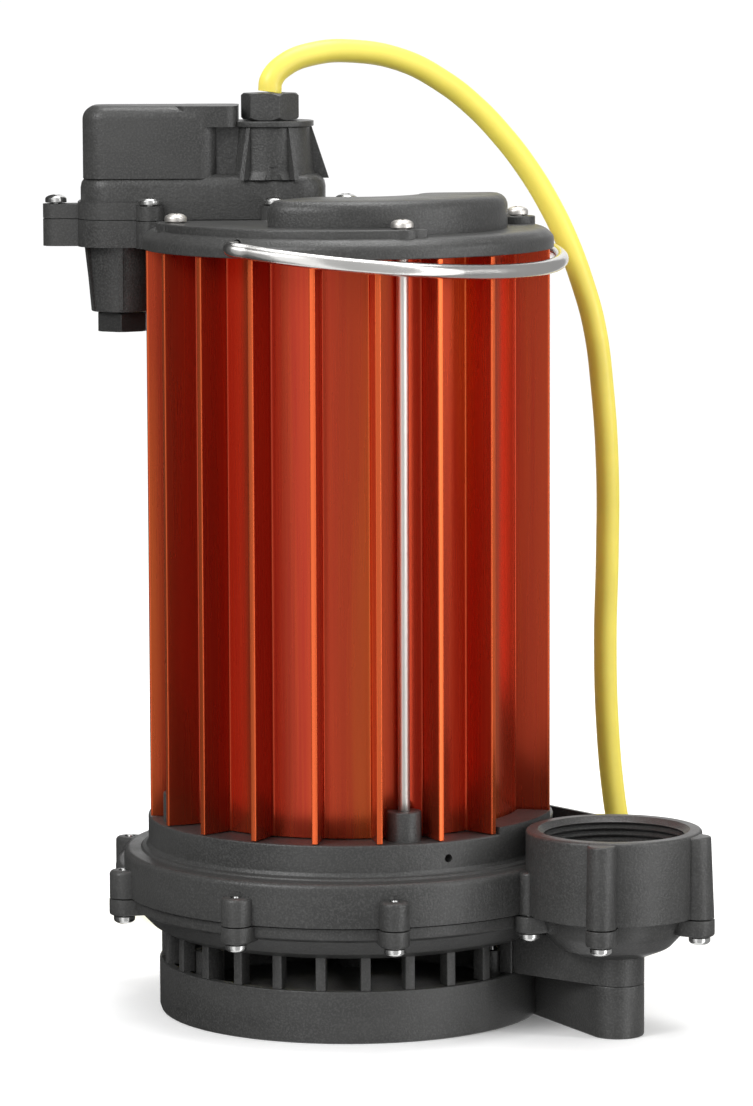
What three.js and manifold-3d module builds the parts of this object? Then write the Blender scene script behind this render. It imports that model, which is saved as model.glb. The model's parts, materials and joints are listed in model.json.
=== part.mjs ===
// Submersible sump pump with a finned motor housing, a switch housing, a bail handle and a power cord.
// Millimetres, +Z up. The origin is on the floor, on the motor's axis; the discharge is at +X, -Y.
import * as THREE from 'three';
import { mergeVertices } from 'three/addons/utils/BufferGeometryUtils.js';
import Module from 'manifold-3d';

const wasm = await Module();
wasm.setup();

// Driving dimensions
const GAP = 0.3; // clearance between touching pieces
const AXIS = new THREE.Vector2(0, 0); // the motor's axis
const SEGMENTS = 24; // sides of the large round pieces
const SMALL_SEGMENTS = 8; // sides of screws and small pins

const BASE_R = 66.5; // strainer base, outside
const BASE_TOP = 18; // top of the base's ring wall
const PLATE = 3; // thickness of the base's floor
const POST_COUNT = 27;
const POST_TOP = 29.3; // top of the inlet slots
const LOWER_R = 77;
const LOWER_FLANGE_Z = 37.5;
const PARTING_LOW = 41.2; // top face of the lower volute
const PARTING_HIGH = 41.8; // bottom face of the upper volute
const FLANGE_R = 78.5;
const FLANGE_TOP = 56.6;
const SCROLL_GROWTH = 20; // how far the scroll grows beyond the flange
const SCROLL_START = -80; // azimuth where it starts, degrees
const SCROLL_SWEEP = 157; // over which it grows, degrees
const SCROLL_TOP = 50;
const BAND_R = 70;
const BAND_TOP = 68.2;
const CHAMBER_R = 62; // pumping chamber
const CHAMBER_FLOOR = 33;
const CHAMBER_ROOF = 47;
const EYE_R = 20; // inlet eye
const SEAL_R = 13.4; // recess of the shaft seal
const BEARING_LOW = 58.2; // underside of the lower bearing
const BEARING_HIGH = 251.5; // underside of the upper bearing
const BEARING_POCKET = 18; // radius of the bearings' seats

const DISCHARGE = new THREE.Vector2(89, -48); // axis of the discharge collar
const COLLAR_R = 29.8;
const COLLAR_TOP = 70;
const BORE_R = 24.1; // 1-1/2 inch pipe thread, minor radius
const DECK_TOP = 66; // rim of the deck behind the collar
const LEDGE_TOP = 70.6; // ledge that fills the missing fin's place
const LEG = new THREE.Vector2(90, -51);
const LEG_R = 9.2;
const LEG_TOP = 33;
const WEB_START = 57.6; // the slots are closed between these azimuths, where the leg joins
const WEB_END = 100;

const HOUSING_LOW = 68.5;
const HOUSING_HIGH = 263.2;
const FIN_R = 69.5; // over the fin tips
const WALL_R = 57.5; // outside of the wall between the fins
const WALL_BORE = 53.5;
const FIN_COUNT = 20;
const FIN_PHASE = 8.3; // azimuth of the first fin, degrees
const FIN_HALF = 1.0; // half the thickness of a fin
const MISSING_FIN = 3; // the plain panel on the right

const CAP_R = 70.3;
const CAP_LOW = 263.5;
const CAP_TOP = 270.4;
const PAD_TOP = 273;
const HUMP_TOP = 282;
const HUMP_INNER = 22;
const HUMP_OUTER = 54.5;

const TIE_R = 61; // radius of the tie bolts' circle
const TIE_AZIMUTHS = [17.3, 107.3, 197.3, 287.3];
const TIE_SHANK = 2;
const TIE_BOSS_TOP = 78.2;
const TIE_FOOT = 59; // lower end of the bolts, inside their bosses

const SWITCH_Y = 34; // centreline of the switch housing
const SWITCH_LEFT = -94;
const SWITCH_RIGHT = -7;
const SWITCH_HALF = 15.5; // half its depth
const TUB_LOW = 262.3;
const TUB_TOP = 271.5;
const COVER_LOW = 272.1;
const COVER_FLANGE_TOP = 277.9;
const BELLY_TOP = 287.5;
const DOME_TOP = 311;
const DOME_RIGHT = -45;
const BRIDGE_RIGHT = -38.2; // end of the dome's upper part, beside the gland nut
const BRIDGE_LOW = 303.7;
const TOWER = new THREE.Vector2(-27.2, SWITCH_Y); // axis of the gland tower
const TOWER_R = 13.6;
const TOWER_TOP = 305.5;
const TOWER_DISC_R = 15.2; // thin disc under the nut
const RIB_FOOT = 19.2; // the tower's ribs reach this far out at the foot
const SIDE_RIB_FOOT = 20.4; // and the one on the right this far
const RIB_HEAD = 14.4; // all of them this far at the top
const NUT_TOP = 315;
const PORT = new THREE.Vector2(-79, SWITCH_Y); // axis of the port under the housing
const PORT_LOW = 239.5;
const PORT_HIGH = 264.5;

const HANDLE_R = 73.2; // radius of the bail's bend
const HANDLE_ROD = 2.5;
const HANDLE_Z = 266.8; // height of its pivots
const HANDLE_AZIMUTH = -32.5; // direction of the front pivot, degrees
const HANDLE_DROOP = 6.8; // how far it hangs below level, degrees

const CORD_R = 4.1;
const COIL = new THREE.Vector2(-22, 173); // centre of the coil on the floor
const COIL_R = 45; // middle of its turns
const COIL_HALF = 12.6; // half the width and half the height of its section
const COIL_LOW = 0.4; // underside of the coil

// Materials
function material(color, roughness, metalness) {
  return new THREE.MeshStandardMaterial({ color, roughness, metalness });
}
const plastic = material(0x464644, 0.55, 0);
const anodised = material(0xbe3728, 0.32, 0.85);
const stainless = material(0xc8c8c4, 0.25, 1);
const rubber = material(0x1c1c1c, 0.8, 0);
const yellow = material(0xfaeb5a, 0.45, 0);
const steel = material(0x8d9094, 0.4, 1);
const copper = material(0xb8693a, 0.35, 1);
const brass = material(0xc9a24e, 0.3, 1);
const ceramic = material(0xe8e4da, 0.3, 0);
const black = material(0x222222, 0.5, 0);

const pump = new THREE.Group();

// Geometry helpers
function radians(degrees) {
  return degrees * Math.PI / 180;
}

// A point at an azimuth measured from the front (-Y) towards +X
function around(azimuth, radius) {
  const angle = radians(azimuth);
  return new THREE.Vector2(radius * Math.sin(angle), -radius * Math.cos(angle));
}

// Merge a geometry's vertices and turn its faces outwards
function closed(geometry) {
  const bare = geometry.clone();
  bare.deleteAttribute('normal');
  bare.deleteAttribute('uv');
  const merged = mergeVertices(bare, 1e-4);
  const p = merged.attributes.position;
  const index = Array.from(merged.index.array);
  let volume = 0;
  const a = new THREE.Vector3();
  const b = new THREE.Vector3();
  const c = new THREE.Vector3();
  for (let i = 0; i < index.length; i += 3) {
    a.fromBufferAttribute(p, index[i]);
    b.fromBufferAttribute(p, index[i + 1]);
    c.fromBufferAttribute(p, index[i + 2]);
    volume += a.dot(b.cross(c));
  }
  if (volume < 0) {
    for (let i = 0; i < index.length; i += 3) {
      [index[i], index[i + 1]] = [index[i + 1], index[i]];
    }
  }
  merged.setIndex(index);
  return merged;
}

function solid(geometry) {
  const bare = closed(geometry);
  return new wasm.Manifold(new wasm.Mesh({
    numProp: 3,
    vertProperties: new Float32Array(bare.attributes.position.array),
    triVerts: new Uint32Array(bare.index.array),
  }));
}

function union(...pieces) {
  return pieces.reduce((whole, piece) => whole.add(piece));
}

function cut(body, ...tools) {
  return tools.reduce((rest, tool) => rest.subtract(tool), body);
}

function toGeometry(body) {
  const mesh = body.getMesh();
  const geometry = new THREE.BufferGeometry();
  geometry.setAttribute('position', new THREE.BufferAttribute(new Float32Array(mesh.vertProperties), 3));
  geometry.setIndex(new THREE.BufferAttribute(new Uint32Array(mesh.triVerts), 1));
  return geometry;
}

function add(name, body, look) {
  const geometry = body instanceof THREE.BufferGeometry ? closed(body) : toGeometry(body);
  geometry.computeVertexNormals();
  const mesh = new THREE.Mesh(geometry, look);
  mesh.name = name;
  pump.add(mesh);
  return mesh;
}

// A solid of revolution about +Z from [radius, height] pairs
function turned(profile, segments = SEGMENTS, centre = AXIS) {
  const points = profile.map(([r, z]) => new THREE.Vector2(r, z));
  points.push(points[0].clone());
  const geometry = new THREE.LatheGeometry(points, segments);
  geometry.rotateX(Math.PI / 2);
  geometry.translate(centre.x, centre.y, 0);
  return solid(geometry);
}

function rod(centre, radius, low, high, segments = SMALL_SEGMENTS) {
  return turned([[0, low], [radius, low], [radius, high], [0, high]], segments, centre);
}

function tube(outer, inner, low, high, segments = SEGMENTS, centre = AXIS) {
  return turned([[inner, low], [outer, low], [outer, high], [inner, high]], segments, centre);
}

// A cylinder along the line from one point to another
function bar(from, to, radius, segments = SMALL_SEGMENTS) {
  const along = new THREE.Vector3().subVectors(to, from);
  const geometry = new THREE.CylinderGeometry(radius, radius, along.length(), segments);
  const turn = new THREE.Quaternion().setFromUnitVectors(
    new THREE.Vector3(0, 1, 0), along.clone().normalize());
  geometry.applyQuaternion(turn);
  geometry.translate((from.x + to.x) / 2, (from.y + to.y) / 2, (from.z + to.z) / 2);
  return solid(geometry);
}

function box(x0, x1, y0, y1, z0, z1) {
  const geometry = new THREE.BoxGeometry(x1 - x0, y1 - y0, z1 - z0);
  geometry.translate((x0 + x1) / 2, (y0 + y1) / 2, (z0 + z1) / 2);
  return solid(geometry);
}

function prism(points, low, high) {
  const geometry = new THREE.ExtrudeGeometry(new THREE.Shape(points),
    { depth: high - low, bevelEnabled: false, steps: 1 });
  geometry.translate(0, 0, low);
  return solid(geometry);
}

function arc(centre, radius, start, end, steps) {
  const points = [];
  for (let i = 0; i <= steps; i += 1) {
    const p = around(start + (end - start) * i / steps, radius);
    points.push(p.add(centre));
  }
  return points;
}

// The outline that a belt round two circles makes
function belt(c1, r1, c2, r2, steps = 12) {
  const along = new THREE.Vector2().subVectors(c2, c1);
  const heading = Math.atan2(along.y, along.x);
  const spread = Math.acos((r1 - r2) / along.length());
  const points = [];
  for (let i = 0; i <= steps; i += 1) {
    const angle = heading - spread + 2 * spread * i / steps;
    points.push(new THREE.Vector2(c2.x + r2 * Math.cos(angle), c2.y + r2 * Math.sin(angle)));
  }
  for (let i = 0; i <= steps; i += 1) {
    const angle = heading + spread + (2 * Math.PI - 2 * spread) * i / steps;
    points.push(new THREE.Vector2(c1.x + r1 * Math.cos(angle), c1.y + r1 * Math.sin(angle)));
  }
  return points;
}

// A rectangle with round corners
function roundedBox(x0, x1, y0, y1, radius, steps = 3) {
  const corners = [[x1 - radius, y0 + radius, 0], [x1 - radius, y1 - radius, 90],
    [x0 + radius, y1 - radius, 180], [x0 + radius, y0 + radius, 270]];
  return corners.flatMap(([x, y, start]) => arc(new THREE.Vector2(x, y), radius, start, start + 90, steps));
}

// Outline of the scroll: round in front, growing round the back towards the discharge
function scrollRadius(azimuth, inset) {
  const past = (((SCROLL_START - azimuth) % 360) + 360) % 360;
  const u = Math.min(past / SCROLL_SWEEP, 1);
  const fade = past > SCROLL_SWEEP ? Math.max(0, 1 - (past - SCROLL_SWEEP) / 70) : 1;
  return FLANGE_R - inset + SCROLL_GROWTH * (1 - (1 - u) ** 2) * fade;
}

function scroll(inset, low, high) {
  const points = [];
  for (let i = 0; i < SEGMENTS; i += 1) {
    const azimuth = 360 * i / SEGMENTS;
    points.push(around(azimuth, scrollRadius(azimuth, inset)));
  }
  return prism(points, low, high);
}

// A pan-head screw: head towards +Z (way = 1) or -Z (way = -1)
function screw(centre, seat, way, shank, length, head = 3.8, height = 3) {
  const profile = [[0, seat - way * length], [shank, seat - way * length], [shank, seat],
    [head, seat], [head, seat + way * height * 0.5], [head * 0.6, seat + way * height],
    [0, seat + way * height]];
  return turned(profile, SMALL_SEGMENTS, centre);
}

// Volute screws: azimuth and radius of each, with the collar's own two last
const LOBE_R = 5.0;
const VOLUTE_SCREWS = [
  ['left', around(-76.5, 80)],
  ['front_left', around(-28.4, 80)],
  ['front', around(10.7, 80)],
  ['front_right', around(49, 80)],
  ['back_left', around(-121.5, 92.5)],
  ['back', around(-172, 100.5)],
  ['back_right', around(140, 102)],
  ['collar_front', new THREE.Vector2(83.3, -79.3)],
  ['collar_right', new THREE.Vector2(117.2, -60.5)],
];
const SCREW_SEAT = 35.7; // underside of the lobes, where the screw heads sit
const SCREW_HOLE = 2.3;
const SCREW_SHANK = 1.9;
const SCREW_LENGTH = 15.9; // the tips show in the tops of the lobes
const LOBE_TOP = 51.2;
const SLIM_LOBE_R = 3.6;

function lobe(centre, low, high, radius = LOBE_R) {
  const outward = DISCHARGE.distanceTo(centre) < 36 ? DISCHARGE : AXIS;
  const inner = centre.clone().sub(outward).multiplyScalar(0.86).add(outward);
  return prism(belt(centre, radius, inner, radius, 4), low, high);
}

function volutes() {
  // lower volute: posts, tapered bowl, flange, discharge bowl and leg
  const bowl = turned([[0, POST_TOP], [66, POST_TOP], [70, 31.5], [75.5, LOWER_FLANGE_Z], [LOWER_R, 38.5],
    [LOWER_R, PARTING_LOW], [0, PARTING_LOW]]);
  const dischargeBowl = turned([[0, 26.5], [12, 27], [18.5, 30], [23, 35], [26, PARTING_LOW],
    [0, PARTING_LOW]], 20, DISCHARGE);
  // in front the round flange runs straight into the round collar, so what joins them stays behind this
  const front = prism([around(61.7, 40), around(61.7, 160), around(0, 160), around(-30, 40)], 0, 100);
  const neck = cut(prism(belt(AXIS, 66, DISCHARGE, 22), 36, PARTING_LOW), front);
  const legUpper = union(
    prism(belt(LEG, LEG_R, new THREE.Vector2(66, 0), 12, 8), BASE_TOP + GAP, LEG_TOP),
    prism(belt(LEG, LEG_R, new THREE.Vector2(60, -23), 13, 8), BASE_TOP + GAP, LEG_TOP),
  );
  const aboveBase = rod(AXIS, BASE_R + GAP, BASE_TOP - 1, POST_TOP, SEGMENTS);
  const web = sector(BASE_R - 4.9, BASE_R + 1, WEB_START, WEB_END, BASE_TOP + GAP, POST_TOP + 1);
  const slotRing = tube(BASE_R - 7, BASE_R - 14, POST_TOP - 4, POST_TOP + 1);
  const lowerScroll = scroll(2, LOWER_FLANGE_Z, PARTING_LOW);
  let lower = union(bowl, dischargeBowl, neck, web, cut(legUpper, aboveBase), lowerScroll, slotRing);
  for (let i = 0; i < POST_COUNT; i += 1) {
    const azimuth = 4.5 + 360 * i / POST_COUNT;
    const post = new THREE.BoxGeometry(4, 5, POST_TOP - BASE_TOP + 1);
    post.translate(0, -(BASE_R - 3.2), (BASE_TOP + GAP + POST_TOP + 1 + GAP) / 2);
    post.rotateZ(radians(azimuth));
    lower = lower.add(solid(post));
  }
  const upperBody = turned([[0, PARTING_HIGH], [FLANGE_R, PARTING_HIGH], [FLANGE_R, FLANGE_TOP - 2],
    [FLANGE_R - 2, FLANGE_TOP], [BAND_R + 1, FLANGE_TOP], [BAND_R, FLANGE_TOP + 1.2], [BAND_R, BAND_TOP],
    [0, BAND_TOP]]);
  const collar = rod(DISCHARGE, COLLAR_R, PARTING_HIGH, COLLAR_TOP, SEGMENTS);
  const hull = belt(AXIS, BAND_R, DISCHARGE, COLLAR_R);
  const deck = cut(prism(hull, PARTING_HIGH, FLANGE_TOP), front);
  const deckRim = cut(prism(hull, FLANGE_TOP - 1, DECK_TOP),
    prism(belt(AXIS, BAND_R - 1.8, DISCHARGE, COLLAR_R - 1.8), FLANGE_TOP - 2, DECK_TOP + 1), front);
  const ledge = sector(WALL_R + 1.1, BAND_R, 46.3, 78.4, BAND_TOP - 1, LEDGE_TOP);
  let upper = union(upperBody, scroll(0, PARTING_HIGH, SCROLL_TOP), collar, deck, deckRim, ledge);
  for (const azimuth of TIE_AZIMUTHS) {
    const boss = rod(around(azimuth, TIE_R), 5.9, BAND_TOP - 1, TIE_BOSS_TOP, 12);
    upper = upper.add(cut(boss, rod(AXIS, WALL_R + 0.8, BAND_TOP, TIE_BOSS_TOP + 1.8, SEGMENTS)));
  }
  VOLUTE_SCREWS.forEach(([name, centre]) => {
    if (name.startsWith('collar')) {
      upper = upper.add(lobe(centre, PARTING_HIGH, COLLAR_TOP - 0.5));
    } else if (name === 'front_right') {
      // this one hides between the flange and the collar
      upper = upper.add(lobe(centre, PARTING_HIGH, FLANGE_TOP, SLIM_LOBE_R));
    } else {
      upper = upper.add(lobe(centre, PARTING_HIGH, LOBE_TOP));
    }
    lower = lower.add(lobe(centre, SCREW_SEAT, PARTING_LOW));
  });

  // passages: pumping chamber, scroll channel, discharge bore, inlet eye
  const channel = scroll(13, CHAMBER_FLOOR + 4.5, CHAMBER_ROOF);
  const chamberLow = rod(AXIS, CHAMBER_R, CHAMBER_FLOOR, PARTING_HIGH, SEGMENTS);
  const chamberHigh = rod(AXIS, CHAMBER_R, PARTING_LOW, CHAMBER_ROOF, SEGMENTS);
  const duct = prism(belt(new THREE.Vector2(62, 10), 12, DISCHARGE, 14), 36.5, 48);
  const bowlCut = turned([[0, 31], [12, 32], [18, 35], [20.5, 38], [22.5, 48], [0, 48]], 20, DISCHARGE);
  const bore = rod(DISCHARGE, BORE_R, CHAMBER_ROOF - 1, COLLAR_TOP + 1, SEGMENTS);
  const eye = rod(AXIS, EYE_R, 20, PARTING_LOW + 1, 20);
  const sealRecess = rod(AXIS, SEAL_R, CHAMBER_ROOF - 1, BAND_TOP + 1, 20);
  const bearingPocket = rod(AXIS, BEARING_POCKET, BEARING_LOW - 0.7, BAND_TOP + 1, 20);
  const vent = bar(new THREE.Vector3(31, -58, 62.5), new THREE.Vector3(38, -71.1, 62.5), 1.4);
  const gasketGroove = tube(LOWER_R - 2.5, LOWER_R - 6.5, PARTING_LOW - 1.5, PARTING_LOW + 1);
  const ringGroove = tube(56, 52, BAND_TOP - 2.4, BAND_TOP + 1);
  lower = cut(lower, chamberLow, channel, duct, bowlCut, eye, gasketGroove);
  upper = cut(upper, chamberHigh, channel, duct, bowlCut, bore, sealRecess, bearingPocket, vent, ringGroove);
  VOLUTE_SCREWS.forEach(([, centre]) => {
    lower = lower.subtract(rod(centre, SCREW_HOLE, SCREW_SEAT - 1, PARTING_LOW + 1));
    upper = upper.subtract(rod(centre, SCREW_HOLE, PARTING_HIGH - 1, SCREW_SEAT + SCREW_LENGTH + 1.2));
  });
  for (const azimuth of TIE_AZIMUTHS) {
    upper = upper.subtract(rod(around(azimuth, TIE_R), TIE_SHANK + GAP, TIE_FOOT - 1, TIE_BOSS_TOP + 1.8));
  }
  for (const azimuth of BASE_SCREW_AZIMUTHS) {
    lower = lower.subtract(rod(around(azimuth, BASE_SCREW_R), 1.8, POST_TOP - 5, POST_TOP + 3));
  }
  add('volute_lower', lower, plastic);
  add('volute_upper', upper, plastic);
  add('volute_gasket', tube(LOWER_R - 2.8, LOWER_R - 6.2, PARTING_LOW - 1.2, PARTING_LOW + 0.3), rubber);
  VOLUTE_SCREWS.forEach(([name, centre]) => {
    add(`volute_screw_${name}`, screw(centre, SCREW_SEAT - GAP, -1, SCREW_SHANK, SCREW_LENGTH), stainless);
  });
}

const BASE_SCREW_AZIMUTHS = [60, 180, 300];
const BASE_SCREW_R = 55.8;

function strainerBase() {
  const cup = turned([[0, 0], [BASE_R - 1, 0], [BASE_R, 1], [BASE_R, BASE_TOP], [BASE_R - 3.5, BASE_TOP],
    [BASE_R - 3.5, PLATE], [0, PLATE]]);
  const foot = prism(belt(LEG, LEG_R, new THREE.Vector2(66, 0), 12, 8), 0, BASE_TOP);
  const inside = rod(AXIS, BASE_R - 1, -1, BASE_TOP + 1, SEGMENTS);
  let base = union(cup, cut(foot, inside));
  for (const azimuth of BASE_SCREW_AZIMUTHS) {
    base = base.add(rod(around(azimuth, BASE_SCREW_R), 5, PLATE - 1, POST_TOP - 4 - GAP));
  }
  for (const azimuth of BASE_SCREW_AZIMUTHS) {
    const centre = around(azimuth, BASE_SCREW_R);
    base = cut(base, rod(centre, 2, -1, 40), rod(centre, 4, -1, 4));
    add(`base_screw_${azimuth}`, screw(centre, 4 - GAP, -1, 1.5, 24, 3.3, 2.2), stainless);
  }
  add('strainer_base', base, plastic);
}

function motorHousing() {
  const outline = [];
  for (let i = 0; i < FIN_COUNT; i += 1) {
    const azimuth = FIN_PHASE + 360 * i / FIN_COUNT;
    const half = Math.asin(FIN_HALF / WALL_R) * 180 / Math.PI;
    const tip = Math.asin(FIN_HALF / FIN_R) * 180 / Math.PI;
    if (i === MISSING_FIN) {
      outline.push(...arc(AXIS, WALL_R, azimuth - half, azimuth + half, 1));
    } else {
      outline.push(around(azimuth - half, WALL_R), around(azimuth - tip, FIN_R), around(azimuth + tip, FIN_R),
        around(azimuth + half, WALL_R));
    }
    outline.push(around(azimuth + 6, WALL_R), around(azimuth + 12, WALL_R));
  }
  const body = prism(outline, HOUSING_LOW, HOUSING_HIGH);
  add('motor_housing', cut(body, rod(AXIS, WALL_BORE, 0, 400, SEGMENTS)), anodised);
  add('lower_o_ring', tube(55.7, 52.3, BAND_TOP - 2.1, BAND_TOP), rubber);
}

function tieBolts() {
  TIE_AZIMUTHS.forEach((azimuth, i) => {
    const centre = around(azimuth, TIE_R);
    add(`tie_bolt_${i + 1}`, screw(centre, PAD_TOP + GAP, 1, TIE_SHANK, PAD_TOP - TIE_FOOT), stainless);
  });
}

function sector(inner, outer, start, end, low, high, steps = 9) {
  const centre = AXIS;
  const points = [...arc(centre, outer, start, end, steps), ...arc(centre, inner, end, start, steps)];
  return prism(points, low, high);
}

// Screw lobes on the rim of the switch housing
const COVER_SCREWS = [
  ['left', new THREE.Vector2(-101.8, SWITCH_Y)],
  ['right', new THREE.Vector2(-0.8, SWITCH_Y)],
  ['front_left', new THREE.Vector2(-68.6, SWITCH_Y - 18.5)],
  ['front_right', new THREE.Vector2(-25.6, SWITCH_Y - 18.5)],
  ['back_left', new THREE.Vector2(-68.6, SWITCH_Y + 18.5)],
  ['back_right', new THREE.Vector2(-25.6, SWITCH_Y + 18.5)],
];
const COVER_LOBE = 4.6;

function coverLobes(low, high) {
  return COVER_SCREWS.map(([, centre]) => {
    const inner = new THREE.Vector2(THREE.MathUtils.clamp(centre.x, SWITCH_LEFT + 6, SWITCH_RIGHT - 6),
      SWITCH_Y + (centre.y - SWITCH_Y) * 0.6);
    return prism(belt(centre, COVER_LOBE, inner, COVER_LOBE, 4), low, high);
  });
}

function shell(inset, low, high, radius = 11) {
  return prism(roundedBox(SWITCH_LEFT + inset, SWITCH_RIGHT - inset, SWITCH_Y - SWITCH_HALF + inset,
    SWITCH_Y + SWITCH_HALF - inset, radius - inset * 0.5), low, high);
}

function topCap() {
  const dome = turned([[0, CAP_LOW], [CAP_R, CAP_LOW], [CAP_R, CAP_TOP - 3.6], [CAP_R - 1.2, CAP_TOP - 1.5],
    [CAP_R - 3.8, CAP_TOP], [0, CAP_TOP]]);
  const padOutline = [...arc(AXIS, 66, -82, 24, 8), around(24, 50), around(24, 10), around(-82, 10)];
  const pad = prism(padOutline, CAP_TOP - 1, PAD_TOP);
  const seats = TIE_AZIMUTHS.map((azimuth) => rod(around(azimuth, TIE_R), 6.2, CAP_TOP - 1, PAD_TOP, 12));
  const hump = sector(HUMP_INNER, HUMP_OUTER, -33, 98, CAP_TOP - 1, HUMP_TOP - 2.5);
  const humpTop = sector(HUMP_INNER + 2.5, HUMP_OUTER - 2.5, -30, 95, CAP_TOP, HUMP_TOP);
  const port = turned([[0, PORT_LOW], [10.8, PORT_LOW], [13, PORT_HIGH], [0, PORT_HIGH]], 24, PORT);
  // the tub hangs lower than the cap's rim outside the motor
  const motor = rod(AXIS, CAP_R, TUB_LOW - 1, CAP_LOW, SEGMENTS * 2);
  const tub = cut(union(shell(0, TUB_LOW, TUB_TOP), ...coverLobes(TUB_LOW, TUB_TOP)), motor);
  let cap = union(dome, pad, ...seats, hump, humpTop, tub, port);
  const inside = rod(AXIS, 52, CAP_LOW - 1, CAP_LOW + 3, SEGMENTS);
  const bearingBoss = tube(24, BEARING_POCKET, BEARING_HIGH - 1.5, CAP_LOW + 4, 20);
  const humpHollow = sector(HUMP_INNER + 4, HUMP_OUTER - 4, -26, 91, CAP_LOW, HUMP_TOP - 4);
  const tubHollow = shell(2.8, CAP_TOP - 2, TUB_TOP + 1);
  const leftHollow = cut(shell(2.8, TUB_LOW + 2.5, TUB_TOP + 1),
    rod(AXIS, CAP_R + 2, 0, 400, SEGMENTS));
  const portBore = rod(PORT, 6.5, PORT_LOW - 1, CAP_TOP + 9.6, 24);
  const wireHole = rod(new THREE.Vector2(-40, SWITCH_Y), 5, CAP_LOW - 3.5, CAP_TOP + 9.6);
  const ringGroove = tube(56.2, 51, CAP_LOW - 1, CAP_LOW + 2.1);
  cap = cut(cap, inside, humpHollow, tubHollow, leftHollow, portBore, wireHole, ringGroove);
  cap = cap.add(bearingBoss);
  for (const azimuth of TIE_AZIMUTHS) {
    cap = cap.subtract(rod(around(azimuth, TIE_R), TIE_SHANK + GAP, 255, 280));
  }
  COVER_SCREWS.forEach(([, centre]) => {
    cap = cap.subtract(rod(centre, 1.9, TUB_LOW + 1, TUB_TOP + 1));
  });
  for (const azimuth of [HANDLE_AZIMUTH, HANDLE_AZIMUTH + 180]) {
    const inner = around(azimuth, CAP_R - 7);
    const outer = around(azimuth, CAP_R + 3);
    const from = new THREE.Vector3(inner.x, inner.y, HANDLE_Z);
    const to = new THREE.Vector3(outer.x, outer.y, HANDLE_Z);
    cap = cap.subtract(bar(from, to, HANDLE_ROD + 2 * GAP));
  }
  add('top_cap', cap, plastic);
  add('upper_o_ring', tube(56, 52.3, CAP_LOW, CAP_LOW + 1.8), rubber);
}

function hexagon(centre, radius, turn) {
  return Array.from({ length: 6 }, (_, i) => around(turn + 60 * i, radius).add(centre));
}

// The switch housing's dome, drawn in by an inset
function domeOutline(inset) {
  return roundedBox(SWITCH_LEFT + 2 + inset, DOME_RIGHT - inset, SWITCH_Y - 14 + inset,
    SWITCH_Y + 14 - inset, 8 - inset * 0.6);
}

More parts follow.
